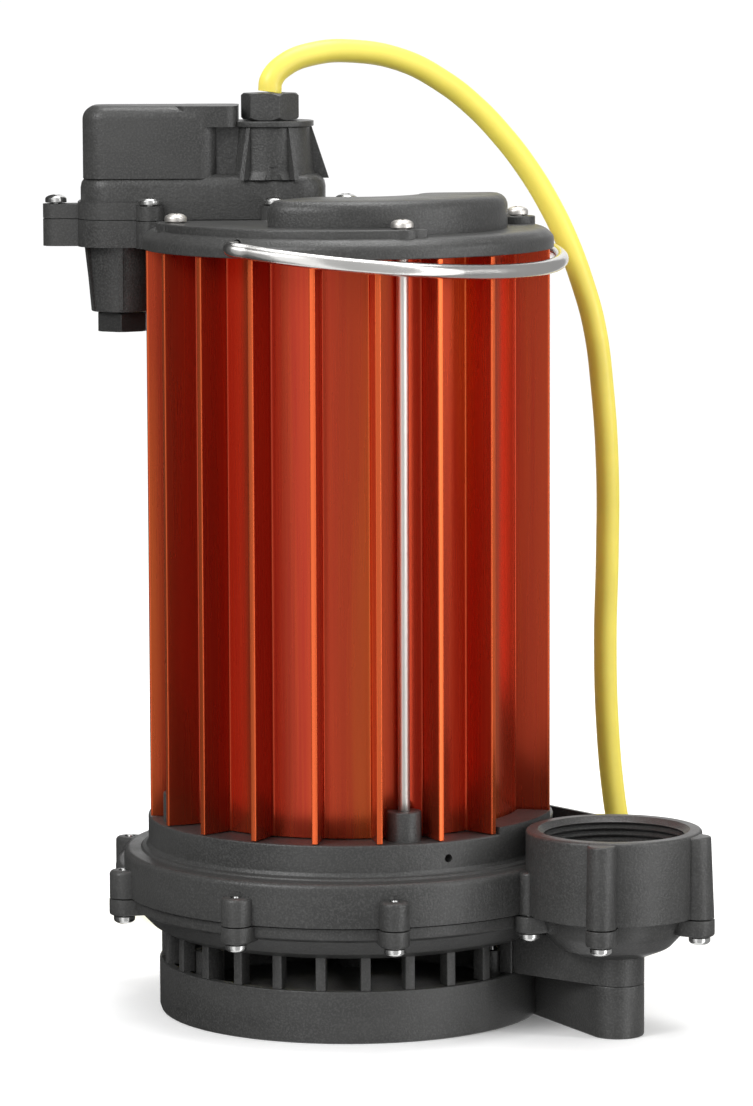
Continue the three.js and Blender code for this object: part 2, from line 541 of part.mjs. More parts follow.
function switchCover() {
  const lobes = coverLobes(COVER_LOW, COVER_FLANGE_TOP - 1);
  const flange = union(shell(0, COVER_LOW, COVER_FLANGE_TOP), ...lobes);
  const belly = shell(1, COVER_FLANGE_TOP - 1, BELLY_TOP);
  const dome = union(prism(domeOutline(0), BELLY_TOP - 1, DOME_TOP - 3),
    prism(domeOutline(1.2), DOME_TOP - 4, DOME_TOP - 1), prism(domeOutline(3), DOME_TOP - 2, DOME_TOP));
  const lowBridge = roundedBox(-52, TOWER.x, SWITCH_Y - 9, SWITCH_Y + 9, 3);
  const highBridge = roundedBox(-60, BRIDGE_RIGHT, SWITCH_Y - 12.8, SWITCH_Y + 12.8, 4);
  const bridge = union(prism(lowBridge, BELLY_TOP - 1, TOWER_TOP - 2),
    prism(highBridge, BRIDGE_LOW, DOME_TOP - 1));
  const tower = turned([[0, BELLY_TOP - 2], [TOWER_R, BELLY_TOP - 2], [TOWER_R, TOWER_TOP - 2.1],
    [TOWER_DISC_R, TOWER_TOP - 1.9], [TOWER_DISC_R, TOWER_TOP], [0, TOWER_TOP]], 20, TOWER);
  let cover = union(flange, belly, dome, bridge, tower);
  const withinBelly = box(-60, 40, SWITCH_Y - 17, SWITCH_Y + 17, 280, 310);
  for (const azimuth of [-150, -30, 30, 90, 150]) {
    const rib = new THREE.Shape([
      new THREE.Vector2(6, BELLY_TOP - 2),
      new THREE.Vector2(azimuth === 90 ? SIDE_RIB_FOOT : RIB_FOOT, BELLY_TOP - 2),
      new THREE.Vector2(RIB_HEAD, TOWER_TOP - 2),
      new THREE.Vector2(6, TOWER_TOP - 2),
    ]);
    const geometry = new THREE.ExtrudeGeometry(rib, { depth: 2, bevelEnabled: false });
    geometry.translate(0, 0, -1);
    geometry.rotateX(Math.PI / 2);
    geometry.rotateZ(radians(azimuth - 90));
    geometry.translate(TOWER.x, TOWER.y, 0);
    cover = cover.add(solid(geometry).intersect(withinBelly));
  }
  const hollow = union(shell(3, COVER_LOW - 1, BELLY_TOP - 2.5),
    prism(domeOutline(2.5), BELLY_TOP - 4, DOME_TOP - 3.5),
    rod(TOWER, 9.3, BELLY_TOP - 4, TOWER_TOP - 7.2, 16));
  const cordHole = rod(TOWER, 6.7, TOWER_TOP - 8, TOWER_TOP + 1, 14);
  const groove = cut(shell(2, COVER_LOW - 1, COVER_LOW + 0.8), shell(4.5, COVER_LOW - 2, COVER_LOW + 2));
  cover = cut(cover, hollow, cordHole, groove);
  COVER_SCREWS.forEach(([, centre]) => {
    cover = cover.subtract(rod(centre, 2, COVER_LOW - 1, COVER_FLANGE_TOP + 12));
    cover = cover.subtract(rod(centre, 4.1, COVER_FLANGE_TOP - 0.9, COVER_FLANGE_TOP + 12));
  });
  // room for the head of the tie bolt beside the housing
  const tieHead = rod(around(TIE_AZIMUTHS[2], TIE_R), 6.8, COVER_LOW - 1, COVER_FLANGE_TOP + 1, 12);
  add('switch_cover', cover.subtract(tieHead), plastic);
  const gasket = cut(shell(2.2, TUB_TOP + GAP, COVER_LOW + 0.5), shell(4.3, TUB_TOP - 1, COVER_LOW + 2));
  add('cover_gasket', gasket.intersect(shell(2.3, TUB_TOP, COVER_LOW + 3)), rubber);
  COVER_SCREWS.forEach(([name, centre]) => {
    add(`cover_screw_${name}`, screw(centre, COVER_FLANGE_TOP - 0.6, 1, 1.5, 11, 3.8, 2.8), stainless);
  });
}

// The hex nut that grips the cord, its rubber sleeve, and the plug in the port below
function glandAndPlug() {
  const nut = union(prism(hexagon(TOWER, 10.3, 20), TOWER_TOP + GAP, NUT_TOP - 1),
    prism(hexagon(TOWER, 9.5, 20), NUT_TOP - 1.2, NUT_TOP),
    rod(TOWER, 6.3, TOWER_TOP - 6, TOWER_TOP + 1, 14));
  const sleeveBore = rod(TOWER, 5.8, TOWER_TOP - 7, NUT_TOP - 4, 14);
  const cordBore = rod(TOWER, 4.8, TOWER_TOP - 15.5, NUT_TOP + 15, 14);
  add('cord_gland_nut', cut(nut, sleeveBore, cordBore), plastic);
  const sleeve = turned([[CORD_R - 1.6, TOWER_TOP - 5], [5.3, TOWER_TOP - 5], [5.3, NUT_TOP - 4.4],
    [4.3, NUT_TOP - 3.6], [4.3, NUT_TOP - 0.5], [CORD_R - 1.6, NUT_TOP - 0.5]], 14, TOWER);
  add('cord_grommet', sleeve, rubber);
  const plug = union(prism(hexagon(PORT, 9.6, 0), PORT_LOW - 6.9, PORT_LOW - GAP),
    rod(PORT, 6.2, PORT_LOW - 1, PORT_LOW + 11, 24));
  add('port_plug', plug, plastic);
}

const STATOR_LOW = 120;
const STATOR_HIGH = 200;
const CAPACITOR_Z = 294.5;

function motorInside() {
  // stator: a laminated ring with winding slots open to the bore
  let stator = tube(53.1, 28.5, STATOR_LOW, STATOR_HIGH, SEGMENTS);
  for (let i = 0; i < 12; i += 1) {
    const slot = new THREE.BoxGeometry(5, 12, 90);
    slot.translate(0, -33, 160);
    slot.rotateZ(radians(30 * i));
    stator = stator.subtract(solid(slot));
  }
  add('stator_core', stator, steel);
  const endTurns = (low, high) => turned([[30, low], [45, low], [48, low + 4], [48, high - 4], [45, high],
    [30, high]]);
  add('winding_lower', endTurns(98, STATOR_LOW - GAP), copper);
  add('winding_upper', endTurns(STATOR_HIGH + GAP, 222), copper);
  add('overload_protector', box(-10, 10, -47, -33, 222.4, 230), black);
  const left = new THREE.Vector3(SWITCH_LEFT + 8, SWITCH_Y, CAPACITOR_Z);
  const right = new THREE.Vector3(-52, SWITCH_Y, CAPACITOR_Z);
  add('capacitor', bar(left, right, 10.3, 20), black);
}

// Deep-groove bearings with a 12 mm bore
const BEARING_H = 9;
const BALLS = 6;

function bearing(place, low) {
  add(`${place}_bearing_outer`, tube(17.5, 14.3, low, low + BEARING_H, 20), steel);
  add(`${place}_bearing_inner`, tube(9.2, 6.4, low, low + BEARING_H, 16), steel);
  let cage = tube(12.5, 10.9, low + 3.2, low + 5.8, 16);
  for (let i = 0; i < BALLS; i += 1) {
    const centre = around(360 * i / BALLS, 11.7);
    const ball = new THREE.SphereGeometry(2.1, 5, 3);
    ball.translate(centre.x, centre.y, low + 4.5);
    cage = cage.add(solid(ball));
  }
  add(`${place}_bearing_cage`, cage, steel);
}

const IMPELLER_R = 52;

function rotor() {
  const shaft = turned([[0, 32], [4, 32], [4, 39], [6, 39], [6, 76], [8, 76], [8, 249],
    [6, 249], [6, 261], [0, 261]], 14);
  add('rotor_shaft', shaft, stainless);
  add('rotor_core', tube(28, 8.3, STATOR_LOW + 1, STATOR_HIGH - 1, 32), steel);
  bearing('lower', BEARING_LOW);
  bearing('upper', BEARING_HIGH);
  // impeller: a disc with five curved vanes below it
  let impeller = union(rod(AXIS, IMPELLER_R, 42, 44.5, SEGMENTS), rod(AXIS, 10, 39.3, 45.5, 16));
  for (let i = 0; i < 5; i += 1) {
    const outer = [];
    const inner = [];
    for (let k = 0; k <= 4; k += 1) {
      const u = k / 4;
      outer.push(around(72 * i + 50 * u, 9 + 42 * u));
      inner.push(around(72 * i + 50 * u + 4 + 2 * u, 9 + 42 * u - 1.6 * u));
    }
    impeller = impeller.add(prism([...outer, ...inner.reverse()], 35, 42.5));
  }
  impeller = impeller.intersect(rod(AXIS, IMPELLER_R, 30, 50, SEGMENTS));
  impeller = cut(impeller, rod(AXIS, 6.5, 30, 60, 14), rod(AXIS, 8.6, 30, 39.3, 14));
  add('impeller', impeller, black);
  const nutPoints = Array.from({ length: 6 }, (_, i) => around(60 * i, 7.6));
  add('impeller_nut', cut(prism(nutPoints, 33.4, 38.7), rod(AXIS, 4.7, 30, 40)), brass);
  // shaft seal: ceramic seat in the plate, carbon head and spring on the shaft
  add('seal_seat', tube(13, 8, 52, 56.5, 20), ceramic);
  add('seal_head', tube(10.5, 6.4, 49.2, 51.7, 20), black);
  const coil = new THREE.CatmullRomCurve3(Array.from({ length: 37 }, (_, i) => {
    const p = around(30 * i, 8.6);
    return new THREE.Vector3(p.x, p.y, 46.6 + 1.8 * i / 36);
  }));
  const wire = new THREE.Shape(arc(AXIS, 0.28, 0, 270, 3));
  const spring = new THREE.ExtrudeGeometry(wire, { steps: 40, extrudePath: coil, bevelEnabled: false });
  add('seal_spring', spring, stainless);
}

function bailHandle() {
  // the rod turns in at both ends to reach the pivot holes
  const points = [];
  const count = 30;
  for (let i = 0; i <= count; i += 1) {
    const angle = 180 * i / count;
    const ease = Math.min(1, Math.min(i, count - i) / 2);
    const radius = HANDLE_R - 1.2 * (1 - ease);
    points.push(new THREE.Vector3(radius * Math.cos(radians(angle)), -radius * Math.sin(radians(angle)), 0));
  }
  points.unshift(new THREE.Vector3(CAP_R - 5, 0, 0));
  points.push(new THREE.Vector3(-(CAP_R - 5), 0, 0));
  const curve = new THREE.CatmullRomCurve3(points, false, 'centripetal');
  const section = new THREE.Shape(arc(AXIS, HANDLE_ROD, 0, 315, 7));
  const geometry = new THREE.ExtrudeGeometry(section, { steps: 36, extrudePath: curve, bevelEnabled: false });
  // local +X is the front pivot's direction; the loop hangs on the discharge side
  geometry.rotateX(Math.PI);
  geometry.rotateX(radians(-HANDLE_DROOP));
  const front = around(HANDLE_AZIMUTH, 1);
  geometry.rotateZ(Math.atan2(front.y, front.x));
  geometry.translate(0, 0, HANDLE_Z);
  add('bail_handle', geometry, stainless);
}

// The cord's route, from the gland over the cap and down behind the discharge to the coil
const ROUTE = [
  [-27.2, 34, 315.3], [-26.6, 34.2, 319.5], [-22, 36.5, 324.5], [-12, 41.5, 328.3], [1.3, 47, 329],
  [18.8, 52.5, 325.6], [33.2, 57, 318], [44, 59, 309.5], [54, 60, 299], [62.5, 60, 288],
  [70.5, 59, 275], [77, 57.5, 261.5], [82.3, 56, 247], [86.4, 55, 232], [89.3, 55, 210],
  [91.2, 55.5, 180], [91.2, 56, 150], [90.6, 57, 120], [91.4, 58, 90], [94, 60.5, 62],
  [98.2, 67, 38], [101, 79, 18], [98, 94, 7.5], [87, 107, 4.6], [71, 115, 4.6], [53, 118.6, 4.6],
  [34, 119.5, 4.6], [14, 119.6, 4.6], [-4, 119.6, 4.6],
];

// The short end of the cord, from the top of the coil down to the plug
const TAIL = [
  [-15.7, 226.4, 21.4], [-4, 226.4, 21.2], [10, 226.6, 19.6], [24, 227, 16.4], [36, 227.3, 14],
  [46, 227.4, 13.2],
];

function drawn(route, steps) {
  const points = route.map(([x, y, z]) => new THREE.Vector3(x, y, z));
  const extrudePath = new THREE.CatmullRomCurve3(points, false, 'centripetal');
  const section = new THREE.Shape(arc(AXIS, CORD_R, 0, 315, 7));
  return new THREE.ExtrudeGeometry(section, { steps, extrudePath, bevelEnabled: false });
}

function cord() {
  add('power_cord', drawn(ROUTE, 44), yellow);
  add('cord_tail', drawn(TAIL, 8), yellow);
  const low = COIL_LOW;
  const high = low + 2 * COIL_HALF;
  const inner = COIL_R - COIL_HALF;
  const outer = COIL_R + COIL_HALF;
  let ring = turned([[inner, low + 4], [inner + 4, low], [outer - 4, low], [outer, low + 4],
    [outer, high - 4], [outer - 4, high], [inner + 4, high], [inner, high - 4]], SEGMENTS, COIL);
  // room for the cord to come in at the front
  ring = ring.subtract(box(-4 - GAP, 90, 100, 119.6 + CORD_R + GAP, -1, 4.6 + CORD_R + GAP));
  ring = ring.subtract(box(-16, 90, 226.4 - CORD_R - 1, 260, high - 2 * CORD_R - 2.6, high + 1));
  add('cord_coil', ring, yellow);
  // the tie is a strap over the coil, open to the floor
  const left = COIL.x - COIL_R - COIL_HALF;
  const right = COIL.x - COIL_R + COIL_HALF;
  const tie = cut(box(left - 2, right + 2, COIL.y - 5, COIL.y + 5, 0, high + 1.6),
    box(left - 0.8, right + 0.8, COIL.y - 6, COIL.y + 6, -1, high + 0.5));
  add('coil_tie', tie, black);
}

// The plug lies beside the coil, with a tapered boot towards it and its blades away from it
const PLUG = new THREE.Vector3(46.3, 227.4, 13.2); // tip of the boot

function powerPlug() {
  const boot = new THREE.CylinderGeometry(6.6, 4.9, 30, 12);
  boot.rotateZ(-Math.PI / 2);
  boot.translate(PLUG.x + 15, PLUG.y, PLUG.z);
  const front = PLUG.x + 58;
  const moulding = box(PLUG.x + 27, front, PLUG.y - 13, PLUG.y + 13, 0.4, 26);
  const leftBlade = box(front - 1, front + 18, PLUG.y - 7.1, PLUG.y - 5.6, PLUG.z - 0.6, PLUG.z + 5.8);
  const rightBlade = box(front - 1, front + 18, PLUG.y + 5.6, PLUG.y + 7.1, PLUG.z - 0.6, PLUG.z + 5.8);
  const pinFoot = new THREE.Vector3(front - 1, PLUG.y, PLUG.z - 6);
  const pinTip = new THREE.Vector3(front + 20, PLUG.y, PLUG.z - 6);
  const pin = bar(pinFoot, pinTip, 2.4);
  add('power_plug', union(solid(boot), moulding, leftBlade, rightBlade, pin), yellow);
}

strainerBase();
volutes();
motorHousing();
tieBolts();
topCap();
switchCover();
glandAndPlug();
motorInside();
rotor();
bailHandle();
cord();
powerPlug();

export default pump;
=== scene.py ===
import json
import math

import bmesh
import bpy
from mathutils import Matrix, Vector


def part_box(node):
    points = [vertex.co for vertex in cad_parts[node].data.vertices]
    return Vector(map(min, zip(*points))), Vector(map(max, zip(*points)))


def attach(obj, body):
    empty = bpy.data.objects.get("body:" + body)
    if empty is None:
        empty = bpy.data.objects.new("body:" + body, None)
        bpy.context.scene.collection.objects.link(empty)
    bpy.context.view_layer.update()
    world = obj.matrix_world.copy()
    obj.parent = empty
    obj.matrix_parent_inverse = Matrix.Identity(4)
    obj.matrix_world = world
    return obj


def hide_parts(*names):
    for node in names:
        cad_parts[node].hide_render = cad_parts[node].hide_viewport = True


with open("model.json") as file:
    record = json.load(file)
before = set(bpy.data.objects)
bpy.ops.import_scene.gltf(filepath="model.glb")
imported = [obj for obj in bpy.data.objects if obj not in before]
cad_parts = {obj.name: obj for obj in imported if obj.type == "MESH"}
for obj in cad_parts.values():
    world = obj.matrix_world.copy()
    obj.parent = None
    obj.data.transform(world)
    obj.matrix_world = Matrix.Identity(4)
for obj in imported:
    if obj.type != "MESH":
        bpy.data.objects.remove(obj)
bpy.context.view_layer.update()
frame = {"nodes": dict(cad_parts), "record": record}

MM = 0.001
TAU = 2 * math.pi

# Sizes of the pump, in millimetres, in the frame of the CAD model: _R is a radius, _TOP a height
AXIS = (0.0, 0.0)
BASE_R, BASE_TOP = 66.5, 18.0
BASE_SCREW_R, BASE_SCREW_AZIMUTHS = 55.8, (60, 180, 300)
POST_COUNT, POST_TOP = 27, 29.3
LOWER_R, PARTING_LOW, PARTING_HIGH = 77.0, 41.3, 41.7
FLANGE_R, FLANGE_TOP = 78.5, 56.6
SCROLL_GROWTH, SCROLL_START, SCROLL_SWEEP, SCROLL_FADE, SCROLL_TOP = 20.0, -80.0, 157.0, 70.0, 50.0
CHAMBER_R, CHAMBER_INSET = 62.0, 13.0
BAND_R, BAND_TOP = 70.0, 68.2
DISCHARGE, COLLAR_R, COLLAR_TOP, BORE_R = (89.0, -48.0), 29.8, 70.0, 24.1
LEG, LEG_R, LEG_LOW, LEG_TOP = (90.0, -51.0), 9.2, BASE_TOP + 0.08, 33.0
LEG_ROOT, LEG_ROOT_R, SIDE_ROOT, SIDE_ROOT_R = (66.0, 0.0), 12, (60.0, -23.0), 13
WEB_START, WEB_END = 57.6, 100
DECK_TOP = 66.0
LEDGE_TOP, LEDGE_START, LEDGE_END = 70.6, 46.3, 78.4
HOUSING_LOW, HOUSING_HIGH = 68.5, 263.2
FIN_R, WALL_R, WALL_BORE = 69.5, 57.5, 53.5
FIN_COUNT, FIN_PHASE, FIN_HALF, MISSING_FIN = 20, 8.3, 1.0, 3
CAP_R, CAP_LOW, CAP_TOP, PAD_TOP = 70.3, 263.5, 270.4, 273.0
HUMP_TOP, HUMP_INNER, HUMP_OUTER, HUMP_START, HUMP_END = 282.0, 22.0, 54.5, -33, 98
TIE_R, TIE_HOLE, TIE_AZIMUTHS = 61.0, 2.3, (17.3, 107.3, 197.3, 287.3)
BOSS_R, BOSS_TOP, CAP_BOSS_R = 5.9, 78.2, 6.2
SWITCH_Y, SWITCH_LEFT, SWITCH_RIGHT, SWITCH_HALF = 34.0, -94.0, -7.0, 15.5
SWITCH_CORNER, SWITCH_WALL = 11.0, 2.8
TUB_LOW, TUB_TOP, COVER_LOW, COVER_FLANGE_TOP = 262.3, 271.7, 271.95, 277.9
BELLY_TOP, DOME_TOP, TOWER_TOP, NUT_TOP = 287.5, 311.0, 305.5, 315.0
DOME_RIGHT, BRIDGE_RIGHT, BRIDGE_LOW = -45.0, -38.2, 303.7
TOWER, TOWER_R, DISC_R = (-27.2, SWITCH_Y), 13.6, 15.2
RIB_HALF, RIB_TOP, RIB_FOOT, SIDE_RIB, SIDE_RIB_FOOT = 0.9, 14.4, 19.2, 90, 20.4
PORT, PORT_LOW, PORT_HIGH, PORT_BORE, PORT_RIB = (-79.0, SWITCH_Y), 239.5, 264.5, 6.5, 14.4
HANDLE_R, HANDLE_ROD, HANDLE_Z = 73.2, 2.5, 266.8
HANDLE_AZIMUTH, HANDLE_DROOP = -32.5, 6.8
CORD_D = 8.2
COIL, COIL_TURNS = (-22.0, 173.0), (53.4, 45.0, 36.6, 36.6, 45.0, 53.4, 45.0, 53.4)
COIL_ROWS = (4.6, 4.6, 4.6, 13.0, 13.0, 13.0, 21.4, 21.4)
PLUG_TIP, PLUG_LENGTH, PLUG_HALF = (46.3, 227.4, 13.2), 58.0, 13.0

# Points nearer than WELD are made one; numbers under TINY count as nothing
WELD, TINY = 1e-4, 1e-6
SHARP_ANGLE = 32.0


# Camera: the photograph's viewpoint
def make_camera():
    distance, height, aside = 1.7907, 0.3753, 0.00926
    tilt, roll = math.radians(6.917), math.radians(0.214)
    data = bpy.data.cameras.new("camera")
    data.lens = 170.53
    data.sensor_width = 36.0
    data.clip_end = 200.0
    camera = bpy.data.objects.new("camera", data)
    bpy.context.scene.collection.objects.link(camera)
    turn = Matrix.Rotation(math.radians(90) - tilt, 4, "X") @ Matrix.Rotation(-roll, 4, "Z")
    camera.matrix_world = Matrix.Translation((aside, -distance, height)) @ turn
    bpy.context.scene.camera = camera


make_camera()


# Outlines and profiles
def around(azimuth, radius, centre=AXIS):
    """The point at an azimuth measured from the front (-Y) towards +X."""
    angle = math.radians(azimuth)
    return (centre[0] + radius * math.sin(angle), centre[1] - radius * math.cos(angle))


def arc(centre, radius, start, end, steps):
    return [around(start + (end - start) * i / steps, radius, centre) for i in range(steps + 1)]


def belt(c1, r1, c2, r2, steps=24):
    """The outline of a belt round two circles."""
    dx, dy = c2[0] - c1[0], c2[1] - c1[1]
    heading = math.atan2(dy, dx)
    spread = math.acos((r1 - r2) / math.hypot(dx, dy))
    points = []
    for i in range(steps + 1):
        angle = heading - spread + 2 * spread * i / steps
        points.append((c2[0] + r2 * math.cos(angle), c2[1] + r2 * math.sin(angle)))
    for i in range(steps + 1):
        angle = heading + spread + (TAU - 2 * spread) * i / steps
        points.append((c1[0] + r1 * math.cos(angle), c1[1] + r1 * math.sin(angle)))
    return points


def rounded_box(x0, x1, y0, y1, radius, steps=10):
    corners = ((x1 - radius, y0 + radius, 0), (x1 - radius, y1 - radius, 90),
               (x0 + radius, y1 - radius, 180), (x0 + radius, y0 + radius, 270))
    return [p for x, y, start in corners for p in arc((x, y), radius, start, start + 90, steps)]


# A corner flatter than this stays as it is, and a rounding takes at most this share of a side
STRAIGHT, MOST_OF_SIDE = 176, 0.49


def fillet(points, radius, closed=True, steps=5):
    """Round the corners of an outline. radius is one number, or one for each point."""
    count = len(points)
    radii = [radius] * count if isinstance(radius, (int, float)) else list(radius)
    result = []
    for i, point in enumerate(points):
        if radii[i] <= 0 or (not closed and i in (0, count - 1)):
            result.append(tuple(point))
            continue
        here = Vector(point)
        before = Vector(points[i - 1]) - here
        after = Vector(points[(i + 1) % count]) - here
        angle = before.angle(after)
        if angle > math.radians(STRAIGHT):
            result.append(tuple(point))
            continue
        reach = radii[i] / math.tan(angle / 2)
        reach = min(reach, before.length * MOST_OF_SIDE, after.length * MOST_OF_SIDE)
        a = here + before.normalized() * reach
        b = here + after.normalized() * reach
        for k in range(steps + 1):
            t = k / steps
            p = a * (1 - t) ** 2 + here * 2 * t * (1 - t) + b * t ** 2
            result.append((p.x, p.y))
    return result


def scroll_outline(inset, steps=180):
    """Round in front, growing round the back towards the discharge."""
    points = []
    for i in range(steps):
        azimuth = 360.0 * i / steps
        past = (SCROLL_START - azimuth) % 360
        u = min(past / SCROLL_SWEEP, 1)
        fade = max(0.0, 1 - (past - SCROLL_SWEEP) / SCROLL_FADE) if past > SCROLL_SWEEP else 1.0
        points.append(around(azimuth, FLANGE_R - inset + SCROLL_GROWTH * (1 - (1 - u) ** 2) * fade))
    return points


# Solids, made in millimetres and kept in metres
def new_object(name, bm):
    bmesh.ops.remove_doubles(bm, verts=bm.verts, dist=WELD)
    bmesh.ops.recalc_face_normals(bm, faces=bm.faces)
    bmesh.ops.scale(bm, vec=(MM, MM, MM), verts=bm.verts)
    mesh = bpy.data.meshes.new(name)
    bm.to_mesh(mesh)
    bm.free()
    obj = bpy.data.objects.new(name, mesh)
    bpy.context.scene.collection.objects.link(obj)
    return obj


def lathe(profile, segments, centre=AXIS):
    """A solid of revolution from (radius, height) points; an open profile starts and ends on the axis."""
    bm = bmesh.new()
    rings = []
    for r, z in profile:
        if r < TINY:
            rings.append([bm.verts.new((centre[0], centre[1], z))])
            continue
        rings.append([bm.verts.new((centre[0] + r * math.cos(TAU * i / segments),
                                    centre[1] + r * math.sin(TAU * i / segments), z))
                      for i in range(segments)])
    pairs = list(zip(rings, rings[1:]))
    if len(rings[0]) > 1:
        pairs.append((rings[-1], rings[0]))
    for low, high in pairs:
        for i in range(segments):
            k = (i + 1) % segments
            if len(low) == 1:
                bm.faces.new((low[0], high[k], high[i]))
            elif len(high) == 1:
                bm.faces.new((low[i], low[k], high[0]))
            else:
                bm.faces.new((low[i], low[k], high[k], high[i]))
    return new_object("lathe", bm)


def rod(centre, radius, low, high, segments=48, bevel=0.0):
    profile = [(0, low), (radius, low), (radius, high), (0, high)]
    return lathe(fillet(profile, bevel, closed=False) if bevel else profile, segments, centre)


def tube(outer, inner, low, high):
    return lathe([(inner, low), (outer, low), (outer, high), (inner, high)], 96)


def prism(outline, low, high, top=0.0, bottom=0.0, segments=4):
    """An extruded outline with its top and bottom edges rounded."""
    bm = bmesh.new()
    floor = [bm.verts.new((x, y, low)) for x, y in outline]
    roof = [bm.verts.new((x, y, high)) for x, y in outline]
    bm.faces.new(floor[::-1])
    bm.faces.new(roof)
    count = len(outline)
    for i in range(count):
        k = (i + 1) % count
        bm.faces.new((floor[i], floor[k], roof[k], roof[i]))
    bmesh.ops.remove_doubles(bm, verts=bm.verts, dist=WELD)
    for level, width in ((high, top), (low, bottom)):
        if width > 0:
            edges = [e for e in bm.edges if all(abs(v.co.z - level) < TINY for v in e.verts)]
            bmesh.ops.bevel(bm, geom=edges, offset=width, segments=segments, profile=0.5,
                            affect="EDGES", clamp_overlap=False)
    return new_object("prism", bm)


def taper(obj, low, high, scale, centre=AXIS):
    """Scale an object's cross-section evenly from 1 at height low to scale at height high."""
    x, y = centre[0] * MM, centre[1] * MM
    for v in obj.data.vertices:
        t = min(max((v.co.z / MM - low) / (high - low), 0), 1)
        s = 1 + (scale - 1) * t
        v.co.x = x + (v.co.x - x) * s
        v.co.y = y + (v.co.y - y) * s
    return obj


def box(x0, x1, y0, y1, z0, z1, bevel=0.0):
    return prism([(x0, y0), (x1, y0), (x1, y1), (x0, y1)], z0, z1, bevel, bevel)


def bar(start, end, radius):
    """A cylinder from one point to another."""
    obj = rod(AXIS, radius, 0, (Vector(end) - Vector(start)).length, 32)
    turn = Vector((0, 0, 1)).rotation_difference(Vector(end) - Vector(start)).to_matrix().to_4x4()
    obj.data.transform(Matrix.Translation(Vector(start) * MM) @ turn)
    return obj


def turned(obj, azimuth, centre=AXIS):
    """Turn an object made on the axis, then move it to its centre."""
    turn = Matrix.Rotation(math.radians(azimuth), 4, "Z")
    obj.data.transform(Matrix.Translation(Vector((*centre, 0)) * MM) @ turn)
    return obj


def bent_rod(name, points, radius, steps, bevel_steps):
    """A round rod or cord on a smooth curve through some points."""
    data = bpy.data.curves.new(name, "CURVE")
    data.dimensions = "3D"
    data.resolution_u = steps
    data.bevel_depth = radius * MM
    data.bevel_resolution = bevel_steps
    data.use_fill_caps = True
    spline = data.splines.new("BEZIER")
    spline.bezier_points.add(len(points) - 1)
    for bezier, point in zip(spline.bezier_points, points):
        bezier.co = Vector(point) * MM
        bezier.handle_left_type = "AUTO"
        bezier.handle_right_type = "AUTO"
    obj = bpy.data.objects.new(name, data)
    bpy.context.scene.collection.objects.link(obj)
    return obj


def combine(base, others, operation):
    for other in others:
        modifier = base.modifiers.new("join", "BOOLEAN")
        modifier.operation = operation
        modifier.solver = "MANIFOLD"
        modifier.object = other
        graph = bpy.context.evaluated_depsgraph_get()
        mesh = bpy.data.meshes.new_from_object(base.evaluated_get(graph))
        base.modifiers.clear()
        old = base.data
        base.data = mesh
        bpy.data.meshes.remove(old)
        bpy.data.meshes.remove(other.data)
    return base


def join(base, *others):
    return combine(base, others, "UNION")


def carve(base, *others):
    return combine(base, others, "DIFFERENCE")


def finish_piece(obj, name, material, body="root", nodes=(), *, slot):
    """Name a piece, shade it, put it on its body and let it stand for its CAD nodes."""
    obj.name = name
    obj.data.name = name
    obj.data.polygons.foreach_set("use_smooth", [True] * len(obj.data.polygons))
    obj.data.set_sharp_from_angle(angle=math.radians(SHARP_ANGLE))
    obj.data.materials.clear()
    obj.data.materials.append(material)
    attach(obj, body)
    if nodes:
        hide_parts(*nodes)
    return obj


